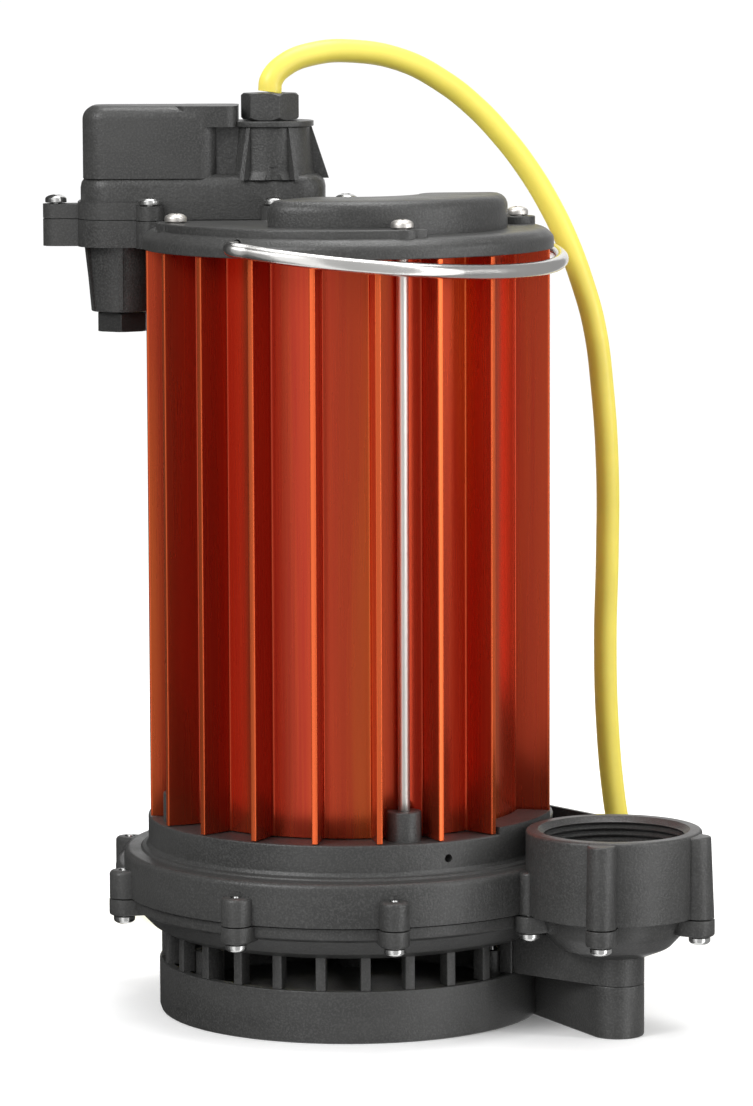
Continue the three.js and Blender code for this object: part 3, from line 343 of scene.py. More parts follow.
# Materials
class Nodes:
    """Short calls for building one material's nodes."""

    def __init__(self, name, colour, roughness, metallic=0.0):
        self.material = bpy.data.materials.new(name)
        self.material.use_nodes = True
        self.tree = self.material.node_tree
        self.shader = self.tree.nodes["Principled BSDF"]
        self.set("Base Color", (*colour, 1))
        self.set("Roughness", roughness)
        self.set("Metallic", metallic)
        self.where = self.tree.nodes.new("ShaderNodeTexCoord").outputs["Object"]

    def set(self, socket, value):
        self.shader.inputs[socket].default_value = value

    def link(self, output, socket):
        self.tree.links.new(output, self.shader.inputs[socket])

    def stretched(self, scale):
        mapping = self.tree.nodes.new("ShaderNodeMapping")
        mapping.inputs["Scale"].default_value = scale
        self.tree.links.new(self.where, mapping.inputs["Vector"])
        return mapping.outputs["Vector"]

    def noise(self, scale, detail, where=None):
        node = self.tree.nodes.new("ShaderNodeTexNoise")
        node.inputs["Scale"].default_value = scale
        node.inputs["Detail"].default_value = detail
        self.tree.links.new(where or self.where, node.inputs["Vector"])
        return node.outputs["Fac"]

    def ramp(self, factor, stops):
        node = self.tree.nodes.new("ShaderNodeValToRGB")
        while len(node.color_ramp.elements) < len(stops):
            node.color_ramp.elements.new(0.5)
        for element, (position, colour) in zip(node.color_ramp.elements, stops):
            element.position = position
            element.color = (*colour, 1)
        self.tree.links.new(factor, node.inputs["Fac"])
        return node.outputs["Color"]

    def beyond(self, inner, outer):
        """0 to 1 between two distances from the object's own Z axis, in mm."""
        flat = self.tree.nodes.new("ShaderNodeVectorMath")
        flat.operation = "MULTIPLY"
        flat.inputs[1].default_value = (1, 1, 0)
        coordinates = self.tree.nodes.new("ShaderNodeTexCoord")
        self.tree.links.new(coordinates.outputs["Object"], flat.inputs[0])
        length = self.tree.nodes.new("ShaderNodeVectorMath")
        length.operation = "LENGTH"
        self.tree.links.new(flat.outputs[0], length.inputs[0])
        node = self.tree.nodes.new("ShaderNodeMapRange")
        node.inputs["From Min"].default_value = inner * MM
        node.inputs["From Max"].default_value = outer * MM
        self.tree.links.new(length.outputs["Value"], node.inputs["Value"])
        return node.outputs["Result"]

    def mix(self, factor, a, b):
        node = self.tree.nodes.new("ShaderNodeMix")
        node.data_type = "RGBA"
        self.tree.links.new(factor, node.inputs["Factor"])
        for socket, value in ((node.inputs[6], a), (node.inputs[7], b)):
            if isinstance(value, tuple):
                socket.default_value = (*value, 1)
            else:
                self.tree.links.new(value, socket)
        return node.outputs[2]

    def span(self, factor, low, high):
        node = self.tree.nodes.new("ShaderNodeMapRange")
        node.inputs["To Min"].default_value = low
        node.inputs["To Max"].default_value = high
        self.tree.links.new(factor, node.inputs["Value"])
        return node.outputs["Result"]

    def bump(self, height, distance, strength=1.0, below=None):
        node = self.tree.nodes.new("ShaderNodeBump")
        node.inputs["Distance"].default_value = distance
        node.inputs["Strength"].default_value = strength
        self.tree.links.new(height, node.inputs["Height"])
        if below:
            self.tree.links.new(below, node.inputs["Normal"])
        self.link(node.outputs["Normal"], "Normal")
        return node.outputs["Normal"]


def moulded(name, colour, roughness):
    """Glass-filled moulding: fine speckle, faint flow marks and a slightly uneven sheen."""
    m = Nodes(name, colour, roughness)
    flow = m.noise(24, 5, m.stretched((1, 1, 2.2)))
    dark, light, speckle = (tuple(c * share for c in colour) for share in (0.75, 1.3, 1.7))
    body = m.ramp(flow, ((0.3, dark), (0.7, light)))
    speck = m.ramp(m.noise(1500, 2), ((0.44, (0, 0, 0)), (0.72, (1, 1, 1))))
    m.link(m.mix(speck, body, speckle), "Base Color")
    m.link(m.span(m.noise(90, 5), roughness - 0.14, roughness + 0.12), "Roughness")
    m.set("Specular IOR Level", 0.5)
    grain = m.bump(m.noise(1300, 3), 0.0003, 0.5)
    m.bump(m.noise(45, 2), 0.0012, 0.15, grain)
    return m.material


def anodised(name):
    """Dyed anodised extrusion: fine lines along it, dye of uneven depth with pale golden streaks painted in
    as highlights, and fin tips painted paler as a highlight.
    """
    m = Nodes(name, (0.5, 0.05, 0.022), 0.26, 0.84)
    lines = m.noise(900, 2, m.stretched((1, 1, 0.012)))
    # The dye noise is partly uneven dye and partly painted reflection: its pale golden streaks are painted
    # highlights.
    dye_and_painted_sheen = m.noise(34, 3, m.stretched((1, 1, 0.05)))
    deep, middle, painted_golden_sheen = (0.46, 0.038, 0.027), (0.57, 0.062, 0.031), (0.8, 0.22, 0.045)
    base = m.ramp(dye_and_painted_sheen, ((0.34, deep), (0.58, middle), (0.78, painted_golden_sheen)))
    # The paler fin-tip colour is a painted highlight along the fin edges.
    line, painted_tip_highlight = (0.8, 0.16, 0.03), (0.92, 0.16, 0.05)
    lined = m.mix(m.span(lines, 0.0, 0.35), base, line)
    tip = m.beyond(FIN_R - 0.7, FIN_R - 0.35)
    m.link(m.mix(tip, lined, painted_tip_highlight), "Base Color")
    m.link(m.span(m.noise(260, 4, m.stretched((1, 1, 0.05))), 0.2, 0.34), "Roughness")
    m.set("Specular IOR Level", 0.1)
    m.bump(lines, 0.00006, 0.35)
    return m.material


def metal(name, colour, roughness, lines=(1, 1, 1)):
    """Bare metal with a slightly uneven tint and sheen; lines stretches its marks along an axis."""
    m = Nodes(name, colour, roughness, 1.0)
    m.link(m.span(m.noise(500, 4, m.stretched(lines)), roughness * 0.7, roughness * 1.35), "Roughness")
    tint = m.ramp(m.noise(30, 2), ((0.3, tuple(c * 0.9 for c in colour)), (0.7, colour)))
    m.link(tint, "Base Color")
    m.bump(m.noise(1400, 2, m.stretched(lines)), 0.00004, 0.3)
    return m.material


def jacket(name, colour, roughness):
    """Soft PVC: slightly translucent, with faint waviness and handling marks."""
    m = Nodes(name, colour, roughness)
    shade = m.noise(55, 4)
    m.link(m.ramp(shade, ((0.3, tuple(c * 0.88 for c in colour)), (0.7, colour))), "Base Color")
    m.link(m.span(m.noise(300, 4), roughness - 0.08, roughness + 0.12), "Roughness")
    m.set("Subsurface Weight", 0.12)
    m.set("Subsurface Radius", (0.004, 0.003, 0.001))
    m.bump(m.noise(420, 3), 0.00015, 0.25)
    return m.material


PLASTIC = moulded("charcoal_moulding", (0.039, 0.039, 0.038), 0.4)
DARK_PLASTIC = moulded("dark_moulding", (0.02, 0.02, 0.0195), 0.4)
ANODISED = anodised("orange_anodised")
STAINLESS = metal("stainless", (0.74, 0.74, 0.73), 0.2)
ROD_STEEL = metal("drawn_stainless", (0.84, 0.83, 0.81), 0.2, (1, 1, 0.05))
BOLT_STEEL = metal("brushed_stainless", (0.8, 0.77, 0.73), 0.42, (1, 1, 0.05))
RUBBER = moulded("nitrile_rubber", (0.018, 0.018, 0.018), 0.7)
JACKET = jacket("yellow_pvc", (0.95, 0.8, 0.12), 0.38)
BRASS = metal("plug_brass", (0.78, 0.55, 0.2), 0.24)
# The material of each slot
SLOT_MATERIALS = {
    "copper_wire": metal("enamelled_copper", (0.6, 0.22, 0.09), 0.3),
    "lamination_steel": metal("laminations", (0.32, 0.33, 0.35), 0.4, (0.1, 0.1, 6)),
    "bearing_steel": metal("bearing_steel", (0.62, 0.62, 0.64), 0.12),
    "brass": BRASS,
    "seal_ceramic": moulded("seal_ceramic", (0.75, 0.72, 0.65), 0.3),
    "seal_carbon": moulded("seal_carbon", (0.03, 0.03, 0.03), 0.35),
    "black_plastic": DARK_PLASTIC,
    "stainless": STAINLESS,
    "rubber": RUBBER,
    "body_plastic": PLASTIC,
    "cord_jacket": JACKET,
    "anodised_housing": ANODISED,
}


# The cord: its route, the same points as the CAD model's, then the coil's turns and the short tail
ROUTE = [
    (-27.2, 34, 315.3), (-26.6, 34.2, 319.5), (-22, 36.5, 324.5), (-12, 41.5, 328.3), (1.3, 47, 329),
    (18.8, 52.5, 325.6), (33.2, 57, 318), (44, 59, 309.5), (54, 60, 299), (62.5, 60, 288),
    (70.5, 59, 275), (77, 57.5, 261.5), (82.3, 56, 247), (86.4, 55, 232), (89.3, 55, 210),
    (91.2, 55.5, 180), (91.2, 56, 150), (90.6, 57, 120), (91.4, 58, 90), (94, 60.5, 62),
    (98.2, 67, 38), (101, 79, 18), (98, 94, 7.5), (87, 107, 4.6), (71, 115, 4.6), (53, 118.6, 4.6),
    (34, 119.5, 4.6), (14, 119.6, 4.6), (-4, 119.6, 4.6),
]
TAIL = [
    (-4, 226.4, 21.2), (10, 226.6, 19.6), (24, 227, 16.4), (36, 227.3, 14), (46, 227.4, 13.2),
]


def coil_points():
    """The turns, clockwise from the front; each starts by easing over from the turn before it."""
    steps, ease_steps = 16, 3
    points = []
    for turn, (radius, height) in enumerate(zip(COIL_TURNS, COIL_ROWS)):
        last = turn == len(COIL_TURNS) - 1
        before = (COIL_TURNS[turn - 1], COIL_ROWS[turn - 1]) if turn else (radius, height)
        for i in range(steps // 2 + 1 if last else steps):
            ease = min(i / ease_steps, 1)
            r = before[0] + (radius - before[0]) * ease
            z = before[1] + (height - before[1]) * ease
            angle = TAU * i / steps
            points.append((COIL[0] - r * math.sin(angle), COIL[1] - r * math.cos(angle), z))
    return points


def curve_length(points):
    return sum((Vector(b) - Vector(a)).length for a, b in zip(points, points[1:]))


def make_cord():
    points = ROUTE + coil_points() + TAIL
    obj = bent_rod("power_cord_run", points, CORD_D / 2, 8, 6)
    obj.data.materials.append(JACKET)
    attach(obj, "root")
    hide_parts("power_cord", "cord_coil", "cord_tail")
    return obj, curve_length(points) * MM


def make_plug():
    """A moulded three-pin plug with a ribbed boot, lying beside the coil."""
    x, y, z = PLUG_TIP
    front = x + PLUG_LENGTH
    along_x = Matrix.Rotation(math.pi / 2, 4, "Y")
    profile = [(0, 0), (4.9, 0)]
    for i in range(5):
        low, r = 3 + 5 * i, 5.1 + 0.35 * i
        profile += [(r, low), (r - 0.7, low + 0.6), (r - 0.7, low + 2.4), (r + 0.1, low + 3)]
    profile += [(6.6, 30), (0, 30)]
    boot = lathe(fillet(profile, 0.3, closed=False, steps=2), 40)
    boot.data.transform(Matrix.Translation(Vector(PLUG_TIP) * MM) @ along_x)
    outline = [(x + 27, y - 9), (x + 33, y - PLUG_HALF), (front, y - PLUG_HALF),
               (front, y + PLUG_HALF), (x + 33, y + PLUG_HALF), (x + 27, y + 9)]
    body = join(prism(fillet(outline, 5), 0.5, 25.9, 3.0, 3.0), boot)
    grips = [box(x + 36 + 4 * i, x + 37.6 + 4 * i, y + side - 0.9, y + side + 0.9, 6, 20)
             for i in range(4) for side in (-PLUG_HALF, PLUG_HALF)]
    plug = finish_piece(carve(body, *grips), "plug_moulding", JACKET,
                        nodes=("power_plug",), slot="cord_jacket")
    pieces = [plug]
    for name, side in (("left", -1), ("right", 1)):
        low, high = sorted((y + side * 5.6, y + side * 7.1))
        blade = box(front - 1, front + 18, low, high, z - 0.6, z + 5.8, 0.3)
        hole = bar((front + 13, low - 2, z + 2.6), (front + 13, high + 2, z + 2.6), 1.5)
        pieces.append(finish_piece(carve(blade, hole), f"plug_blade_{name}", BRASS, slot="brass"))
    pin = lathe(fillet([(0, -1), (2.4, -1), (2.4, 20), (0, 20)], 1.4, closed=False), 32)
    pin.data.transform(Matrix.Translation(Vector((front, y, z - 6)) * MM) @ along_x)
    pieces.append(finish_piece(pin, "plug_ground_pin", BRASS, slot="brass"))
    return pieces


def make_tie():
    """A strap round the coil with a small buckle."""
    low, high = ([v / MM for v in corner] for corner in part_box("coil_tie"))
    middle, outside, inside = (low[0] + high[0]) / 2, 0.1, 1.1
    strap = box(low[0] + outside, high[0] - outside, low[1], high[1], outside, high[2] - outside, 0.4)
    hollow = box(low[0] + inside, high[0] - inside, low[1] - 2, high[1] + 2, -2, high[2] - inside)
    floor = box(low[0] + outside, high[0] - outside, low[1], high[1], 0.05, 0.3)
    buckle = box(middle - 4, middle + 4, low[1] - 0.6, high[1] + 0.6, high[2] - 1.2, high[2] + 1.4, 0.6)
    return finish_piece(join(carve(strap, hollow), floor, buckle), "coil_strap", DARK_PLASTIC,
                        nodes=("coil_tie",), slot="black_plastic")


cord, CORD_LENGTH = make_cord()
plug_pieces = make_plug()
tie = make_tie()
tuple(v * MM for v in ROUTE[0])


# Screws
def pan_screw(centre, seat, way, shank, length, head, height):
    """A pan-head screw with a cross recess, head up (way 1) or down (way -1)."""
    dome = [(head * math.cos(math.radians(a)), height * (0.42 + 0.58 * math.sin(math.radians(a))))
            for a in range(0, 91, 10)]
    profile = [(0, -length), (shank * 0.6, -length), (shank, -length + shank * 0.7), (shank, 0),
               (head * 0.94, 0), (head, height * 0.1), *dome[:-1], (0, height)]
    screw = lathe(profile, 40)
    turn = 45 + 13 * (centre[0] % 7)
    for across in (0, 90):
        slot = box(-head * 0.55, head * 0.55, -0.5, 0.5, height * 0.42, height + 1)
        carve(screw, turned(slot, turn + across))
    flip = Matrix.Rotation(math.pi, 4, "X") if way < 0 else Matrix.Identity(4)
    screw.data.transform(Matrix.Translation(Vector((*centre, seat)) * MM) @ flip)
    return screw


VOLUTE_SCREWS = {
    "left": around(-76.5, 80), "front_left": around(-28.4, 80), "front": around(10.7, 80),
    "front_right": around(49, 80), "back_left": around(-121.5, 92.5), "back": around(-172, 100.5),
    "back_right": around(140, 102), "collar_front": (83.3, -79.3), "collar_right": (117.2, -60.5),
}
COVER_SCREWS = {
    "left": (-101.8, SWITCH_Y), "right": (-0.8, SWITCH_Y),
    "front_left": (-68.6, SWITCH_Y - 18.5), "front_right": (-25.6, SWITCH_Y - 18.5),
    "back_left": (-68.6, SWITCH_Y + 18.5), "back_right": (-25.6, SWITCH_Y + 18.5),
}
SCREW_SEAT, SCREW_HOLE, SCREW_HOLE_LENGTH = 35.7, 1.95, 17.1
VOLUTE_SCREW = {"shank": 1.7, "length": 16.1, "head": 3.7, "height": 3.0}
COVER_SCREW = {"shank": 1.45, "length": 11, "head": 3.8, "height": 2.8}
TIE_BOLT = {"shank": 2.0, "length": 214, "head": 3.8, "height": 3.0}
BASE_SCREW = {"shank": 1.45, "length": 24, "head": 3.3, "height": 2.2}


def screw_piece(node, centre, seat, way, kind, material):
    finish_piece(pan_screw(centre, seat, way, **kind), f"{node}_fine", material,
                 nodes=(node,), slot="stainless")


def make_screws():
    for name, centre in VOLUTE_SCREWS.items():
        screw_piece(f"volute_screw_{name}", centre, SCREW_SEAT - 0.3, -1, VOLUTE_SCREW, STAINLESS)
    for name, centre in COVER_SCREWS.items():
        screw_piece(f"cover_screw_{name}", centre, COVER_FLANGE_TOP - 0.6, 1, COVER_SCREW, STAINLESS)
    for i, azimuth in enumerate(TIE_AZIMUTHS):
        screw_piece(f"tie_bolt_{i + 1}", around(azimuth, TIE_R), PAD_TOP + 0.3, 1, TIE_BOLT, BOLT_STEEL)
    for azimuth in BASE_SCREW_AZIMUTHS:
        centre = around(azimuth, BASE_SCREW_R)
        screw_piece(f"base_screw_{azimuth}", centre, 3.7, -1, BASE_SCREW, STAINLESS)


# Volute and base
LOBE_R, SLIM_LOBE_R, LOBE_TOP, LOBE_ROOT = 5.0, 3.6, 51.2, 0.86
COLLAR_TAPER, COLLAR_REACH, COLLAR_BEARING = 0.965, 36.0, 61.7


def lobe(centre, low, high, top, bottom, radius=LOBE_R):
    """A screw lobe that runs in to the wall beside it: the collar's if that is near, or the bowl's."""
    hub = DISCHARGE if math.dist(DISCHARGE, centre) < COLLAR_REACH else AXIS
    inner = tuple(h + (c - h) * LOBE_ROOT for h, c in zip(hub, centre))
    return prism(belt(centre, radius, inner, radius, 12), low, high, top, bottom)


def front_side():
    """In front the round flange runs straight into the round collar: what joins them stays behind this."""
    return prism([around(COLLAR_BEARING, 40), around(COLLAR_BEARING, 160), around(0, 160), around(-30, 40)],
                 0, 100)


def bore_profile():
    """The discharge bore: a plain throat, thread rings and a mouth with a bevel."""
    throat, pitch, depth, mouth = 46.4, 2.2, 1.4, COLLAR_TOP - 3.4
    inner = BORE_R - 0.3
    profile = [(0, 36), (20, 36), (20, throat)]
    z = throat
    while z < mouth:
        profile += [(inner, z), (inner + depth, z + 0.95), (inner, z + 1.9)]
        z += pitch
    profile += [(BORE_R + 0.2, z), (BORE_R + 0.2, COLLAR_TOP - 1.6), (BORE_R + 1.7, COLLAR_TOP + 0.1),
                (BORE_R + 1.7, COLLAR_TOP + 2), (0, COLLAR_TOP + 2)]
    return profile


def make_upper_volute():
    profile = [(0, PARTING_HIGH), (FLANGE_R, PARTING_HIGH), (FLANGE_R, FLANGE_TOP),
               (BAND_R + 2.6, FLANGE_TOP), (BAND_R + 2.2, FLANGE_TOP + 0.7), (BAND_R + 0.6, FLANGE_TOP + 1.1),
               (BAND_R, FLANGE_TOP + 2.4), (BAND_R, BAND_TOP), (0, BAND_TOP)]
    body = lathe(fillet(profile, (0, 0.2, 2.2, 0.5, 0.4, 0.8, 1.2, 0.7, 0), closed=False), 192)
    skirt = prism(scroll_outline(0), PARTING_HIGH, SCROLL_TOP, 1.6, 0.2)
    profile = [(0, PARTING_HIGH), (COLLAR_R, PARTING_HIGH), (COLLAR_R, COLLAR_TOP), (0, COLLAR_TOP)]
    collar = lathe(fillet(profile, (0, 0.4, 1.3, 0), closed=False), 160, DISCHARGE)
    hull = belt(AXIS, BAND_R, DISCHARGE, COLLAR_R - 0.2, 64)
    inner = belt(AXIS, BAND_R - 1.8, DISCHARGE, COLLAR_R - 2.0, 64)
    deck = carve(prism(hull, PARTING_HIGH + 0.1, FLANGE_TOP, 0.4, 0.2), front_side())
    rim = prism(hull, FLANGE_TOP - 1, DECK_TOP, 0.5)
    rim = carve(rim, prism(inner, FLANGE_TOP - 2, DECK_TOP + 1), front_side())
    ledge = prism([*arc(AXIS, BAND_R, LEDGE_START, LEDGE_END, 32),
                   *arc(AXIS, WALL_R + 1.1, LEDGE_END, LEDGE_START, 32)], BAND_TOP - 1, LEDGE_TOP, 0.5)
    body = join(body, skirt, collar, deck, rim, ledge)
    for name, centre in VOLUTE_SCREWS.items():
        if name.startswith("collar"):
            piece = lobe(centre, PARTING_HIGH, COLLAR_TOP - 0.5, 0.8, 0.2)
            join(body, taper(piece, PARTING_HIGH, COLLAR_TOP, COLLAR_TAPER, DISCHARGE))
        elif name == "front_right":
            join(body, lobe(centre, PARTING_HIGH, FLANGE_TOP - 0.3, 1.2, 0.1, SLIM_LOBE_R))
        else:
            join(body, lobe(centre, PARTING_HIGH, LOBE_TOP, 1.4, 0.1))
    for azimuth in TIE_AZIMUTHS:
        boss = rod(around(azimuth, TIE_R), BOSS_R, BAND_TOP - 1, BOSS_TOP, 48, 0.7)
        join(body, carve(boss, rod(AXIS, WALL_R + 0.5, BAND_TOP, 80, 96)))
    seal_seat = rod(AXIS, 13.4, 40, BAND_TOP + 1, 64)
    bearing_seat = rod(AXIS, 18, 57.5, BAND_TOP + 1, 64)
    chamber = rod(AXIS, CHAMBER_R, 40, 47, 96)
    scroll = prism(scroll_outline(CHAMBER_INSET), 37.5, 47)
    vent = bar((31, -58, 62.5), (38, -71.1, 62.5), 1.4)
    ring_groove = tube(56, 52, BAND_TOP - 2.4, BAND_TOP + 1)
    carve(body, lathe(bore_profile(), 160, DISCHARGE), seal_seat, bearing_seat, chamber, scroll, vent,
          ring_groove)
    for azimuth in TIE_AZIMUTHS:
        carve(body, rod(around(azimuth, TIE_R), TIE_HOLE, 58, 80))
    for centre in VOLUTE_SCREWS.values():
        carve(body, rod(centre, SCREW_HOLE, PARTING_HIGH - 1, SCREW_SEAT + SCREW_HOLE_LENGTH, 24))
    finish_piece(body, "volute_upper_fine", PLASTIC, nodes=("volute_upper",), slot="body_plastic")


def make_lower_volute():
    profile = [(0, POST_TOP), (66, POST_TOP), (69.5, 31.2), (74.5, 36.4), (LOWER_R, 37.6),
               (LOWER_R, PARTING_LOW), (0, PARTING_LOW)]
    body = lathe(fillet(profile, (0, 1.2, 3, 2, 0.6, 0.3, 0), closed=False), 192)
    profile = [(0, 26.5), (12, 27.2), (19, 30), (23.6, 35), (26, PARTING_LOW), (0, PARTING_LOW)]
    bowl = lathe(fillet(profile, (0, 6, 6, 6, 0.3, 0), closed=False), 96, DISCHARGE)
    neck = carve(prism(belt(AXIS, 66, DISCHARGE, 22, 48), 36, PARTING_LOW, 0.3, 2.5), front_side())
    leg = join(prism(belt(LEG, LEG_R, LEG_ROOT, LEG_ROOT_R, 32), LEG_LOW, LEG_TOP, 0.3, 0.12),
               prism(belt(LEG, LEG_R, SIDE_ROOT, SIDE_ROOT_R, 32), LEG_LOW, LEG_TOP, 0.3, 0.12))
    leg = carve(leg, rod(AXIS, BASE_R + 0.3, BASE_TOP - 1, POST_TOP, 128))
    web = prism([*arc(AXIS, BASE_R + 1, WEB_START, WEB_END, 32),
                 *arc(AXIS, BASE_R - 4.9, WEB_END, WEB_START, 32)], LEG_LOW, POST_TOP + 1)
    body = join(body, bowl, neck, leg, web, prism(scroll_outline(2), 37.5, PARTING_LOW, 0.3, 1.0))
    half, outer, inner = 1.7, BASE_R - 0.8, BASE_R - 5.6
    section = fillet([(-half, -outer), (half, -outer), (half, -inner), (-half, -inner)], 0.5, steps=3)
    for i in range(POST_COUNT):
        join(body, turned(prism(section, LEG_LOW, POST_TOP + 1), 4.5 + 360 * i / POST_COUNT))
    for centre in VOLUTE_SCREWS.values():
        join(body, lobe(centre, SCREW_SEAT, PARTING_LOW, 0.2, 0.9, LOBE_R + 0.15))
    duct = prism(belt((62, 10), 12, DISCHARGE, 14), 36.5, 48)
    sump = lathe([(0, 31), (12, 32), (18, 35), (20.5, 38), (22.5, 48), (0, 48)], 64, DISCHARGE)
    eye = rod(AXIS, 20, 20, 50, 64)
    gasket_groove = tube(LOWER_R - 2.5, LOWER_R - 6.5, PARTING_LOW - 1.7, PARTING_LOW + 1)
    carve(body, rod(AXIS, CHAMBER_R, 33, 50, 96), prism(scroll_outline(CHAMBER_INSET), 37.5, 50), duct,
          sump, eye, gasket_groove)
    for centre in VOLUTE_SCREWS.values():
        carve(body, rod(centre, SCREW_HOLE, SCREW_SEAT - 1, PARTING_LOW + 1, 24))
    finish_piece(body, "volute_lower_fine", PLASTIC, nodes=("volute_lower",), slot="body_plastic")


def make_base():
    inner, floor = BASE_R - 3.5, 3
    profile = [(0, 0), (BASE_R - 0.6, 0), (BASE_R, 2), (BASE_R, BASE_TOP), (inner, BASE_TOP),
               (inner, floor), (0, floor)]
    body = lathe(fillet(profile, (0, 1.2, 0, 0.5, 0.5, 1.5, 0), closed=False), 192)
    foot = prism(belt(LEG, LEG_R, LEG_ROOT, LEG_ROOT_R, 32), 0, BASE_TOP, 0.5, 0.8)
    body = join(body, carve(foot, rod(AXIS, BASE_R - 1, -1, BASE_TOP + 1, 128)))
    for azimuth in BASE_SCREW_AZIMUTHS:
        centre = around(azimuth, BASE_SCREW_R)
        join(body, rod(centre, 5, 2, POST_TOP - 4.3, 32))
        carve(body, rod(centre, 2, -1, 40, 24), rod(centre, 4, -1, 4, 32))
    finish_piece(body, "strainer_base_fine", PLASTIC, nodes=("strainer_base",), slot="body_plastic")


# Motor housing: walls between the fins as arcs, fins with rounded roots and tips
def make_housing():
    root_reach, wall_gap = 1.4, 1.8
    half = math.degrees(math.asin(FIN_HALF / WALL_R))
    tip = math.degrees(math.asin(FIN_HALF / FIN_R))
    gap = 360 / FIN_COUNT - 2 * half
    outline = []
    for i in range(FIN_COUNT):
        azimuth = FIN_PHASE + 360 * i / FIN_COUNT
        if i == MISSING_FIN:
            outline += arc(AXIS, WALL_R, azimuth - half, azimuth + half, 2)
        else:
            outline += fillet([around(azimuth - half - root_reach, WALL_R), around(azimuth - half, WALL_R),
                               around(azimuth - tip, FIN_R), around(azimuth + tip, FIN_R),
                               around(azimuth + half, WALL_R), around(azimuth + half + root_reach, WALL_R)],
                              (0, 0.9, 0.35, 0.35, 0.9, 0), closed=False, steps=4)
        outline += arc(AXIS, WALL_R, azimuth + half + wall_gap, azimuth + half + gap - wall_gap, 8)
    body = prism(outline, HOUSING_LOW, HOUSING_HIGH, 0.25, 0.25, 2)
    carve(body, rod(AXIS, WALL_BORE, 0, 400, 128))
    finish_piece(body, "motor_housing_fine", ANODISED, nodes=("motor_housing",), slot="anodised_housing")


# Top cap with the lower half of the switch housing
def cover_lobes(low, high, top, bottom):
    radius = 4.6
    for x, y in COVER_SCREWS.values():
        inner = (min(max(x, SWITCH_LEFT + 6), SWITCH_RIGHT - 6), SWITCH_Y + (y - SWITCH_Y) * 0.6)
        yield prism(belt((x, y), radius, inner, radius, 12), low, high, top, bottom)


def shell(inset, low, high, top=0.0, bottom=0.0):
    """The switch housing's outline, drawn in by an inset, as a solid."""
    outline = rounded_box(SWITCH_LEFT + inset, SWITCH_RIGHT - inset, SWITCH_Y - SWITCH_HALF + inset,
                          SWITCH_Y + SWITCH_HALF - inset, SWITCH_CORNER - inset * 0.5)
    return prism(outline, low, high, top, bottom)


def make_hump():
    """The kidney-shaped hump: part of a ring with its four corners well rounded."""
    steps = 64
    outline = [*arc(AXIS, HUMP_OUTER, HUMP_START, HUMP_END, steps),
               *arc(AXIS, HUMP_INNER, HUMP_END, HUMP_START, steps)]
    corners = (0, steps, steps + 1, 2 * steps + 1)
    return prism(fillet_wide(outline, corners, 9), CAP_TOP - 1, HUMP_TOP, 4.2, 0, 6)


def fillet_wide(outline, corners, radius):
    """Round a few corners of a dense outline by cutting back a length of radius along each side."""
    count, most, steps = len(outline), 40, 8
    keep = [True] * count
    arcs = {}
    for corner in corners:
        here = Vector(outline[corner])
        ends = []
        for step in (-1, 1):
            k = corner
            while (Vector(outline[k % count]) - here).length < radius and abs(k - corner) < most:
                keep[k % count] = False
                k += step
                if k % count in corners:
                    break
            ends.append(Vector(outline[k % count]))
        a, b = (here + (end - here) * min(1, radius / max((end - here).length, TINY)) for end in ends)
        arcs[corner] = [a * (1 - t) ** 2 + here * 2 * t * (1 - t) + b * t ** 2
                        for t in [i / steps for i in range(steps + 1)]]
    result = []
    for i in range(count):
        if i in arcs:
            result += [(p.x, p.y) for p in arcs[i]]
        elif keep[i]:
            result.append(outline[i])
    return result


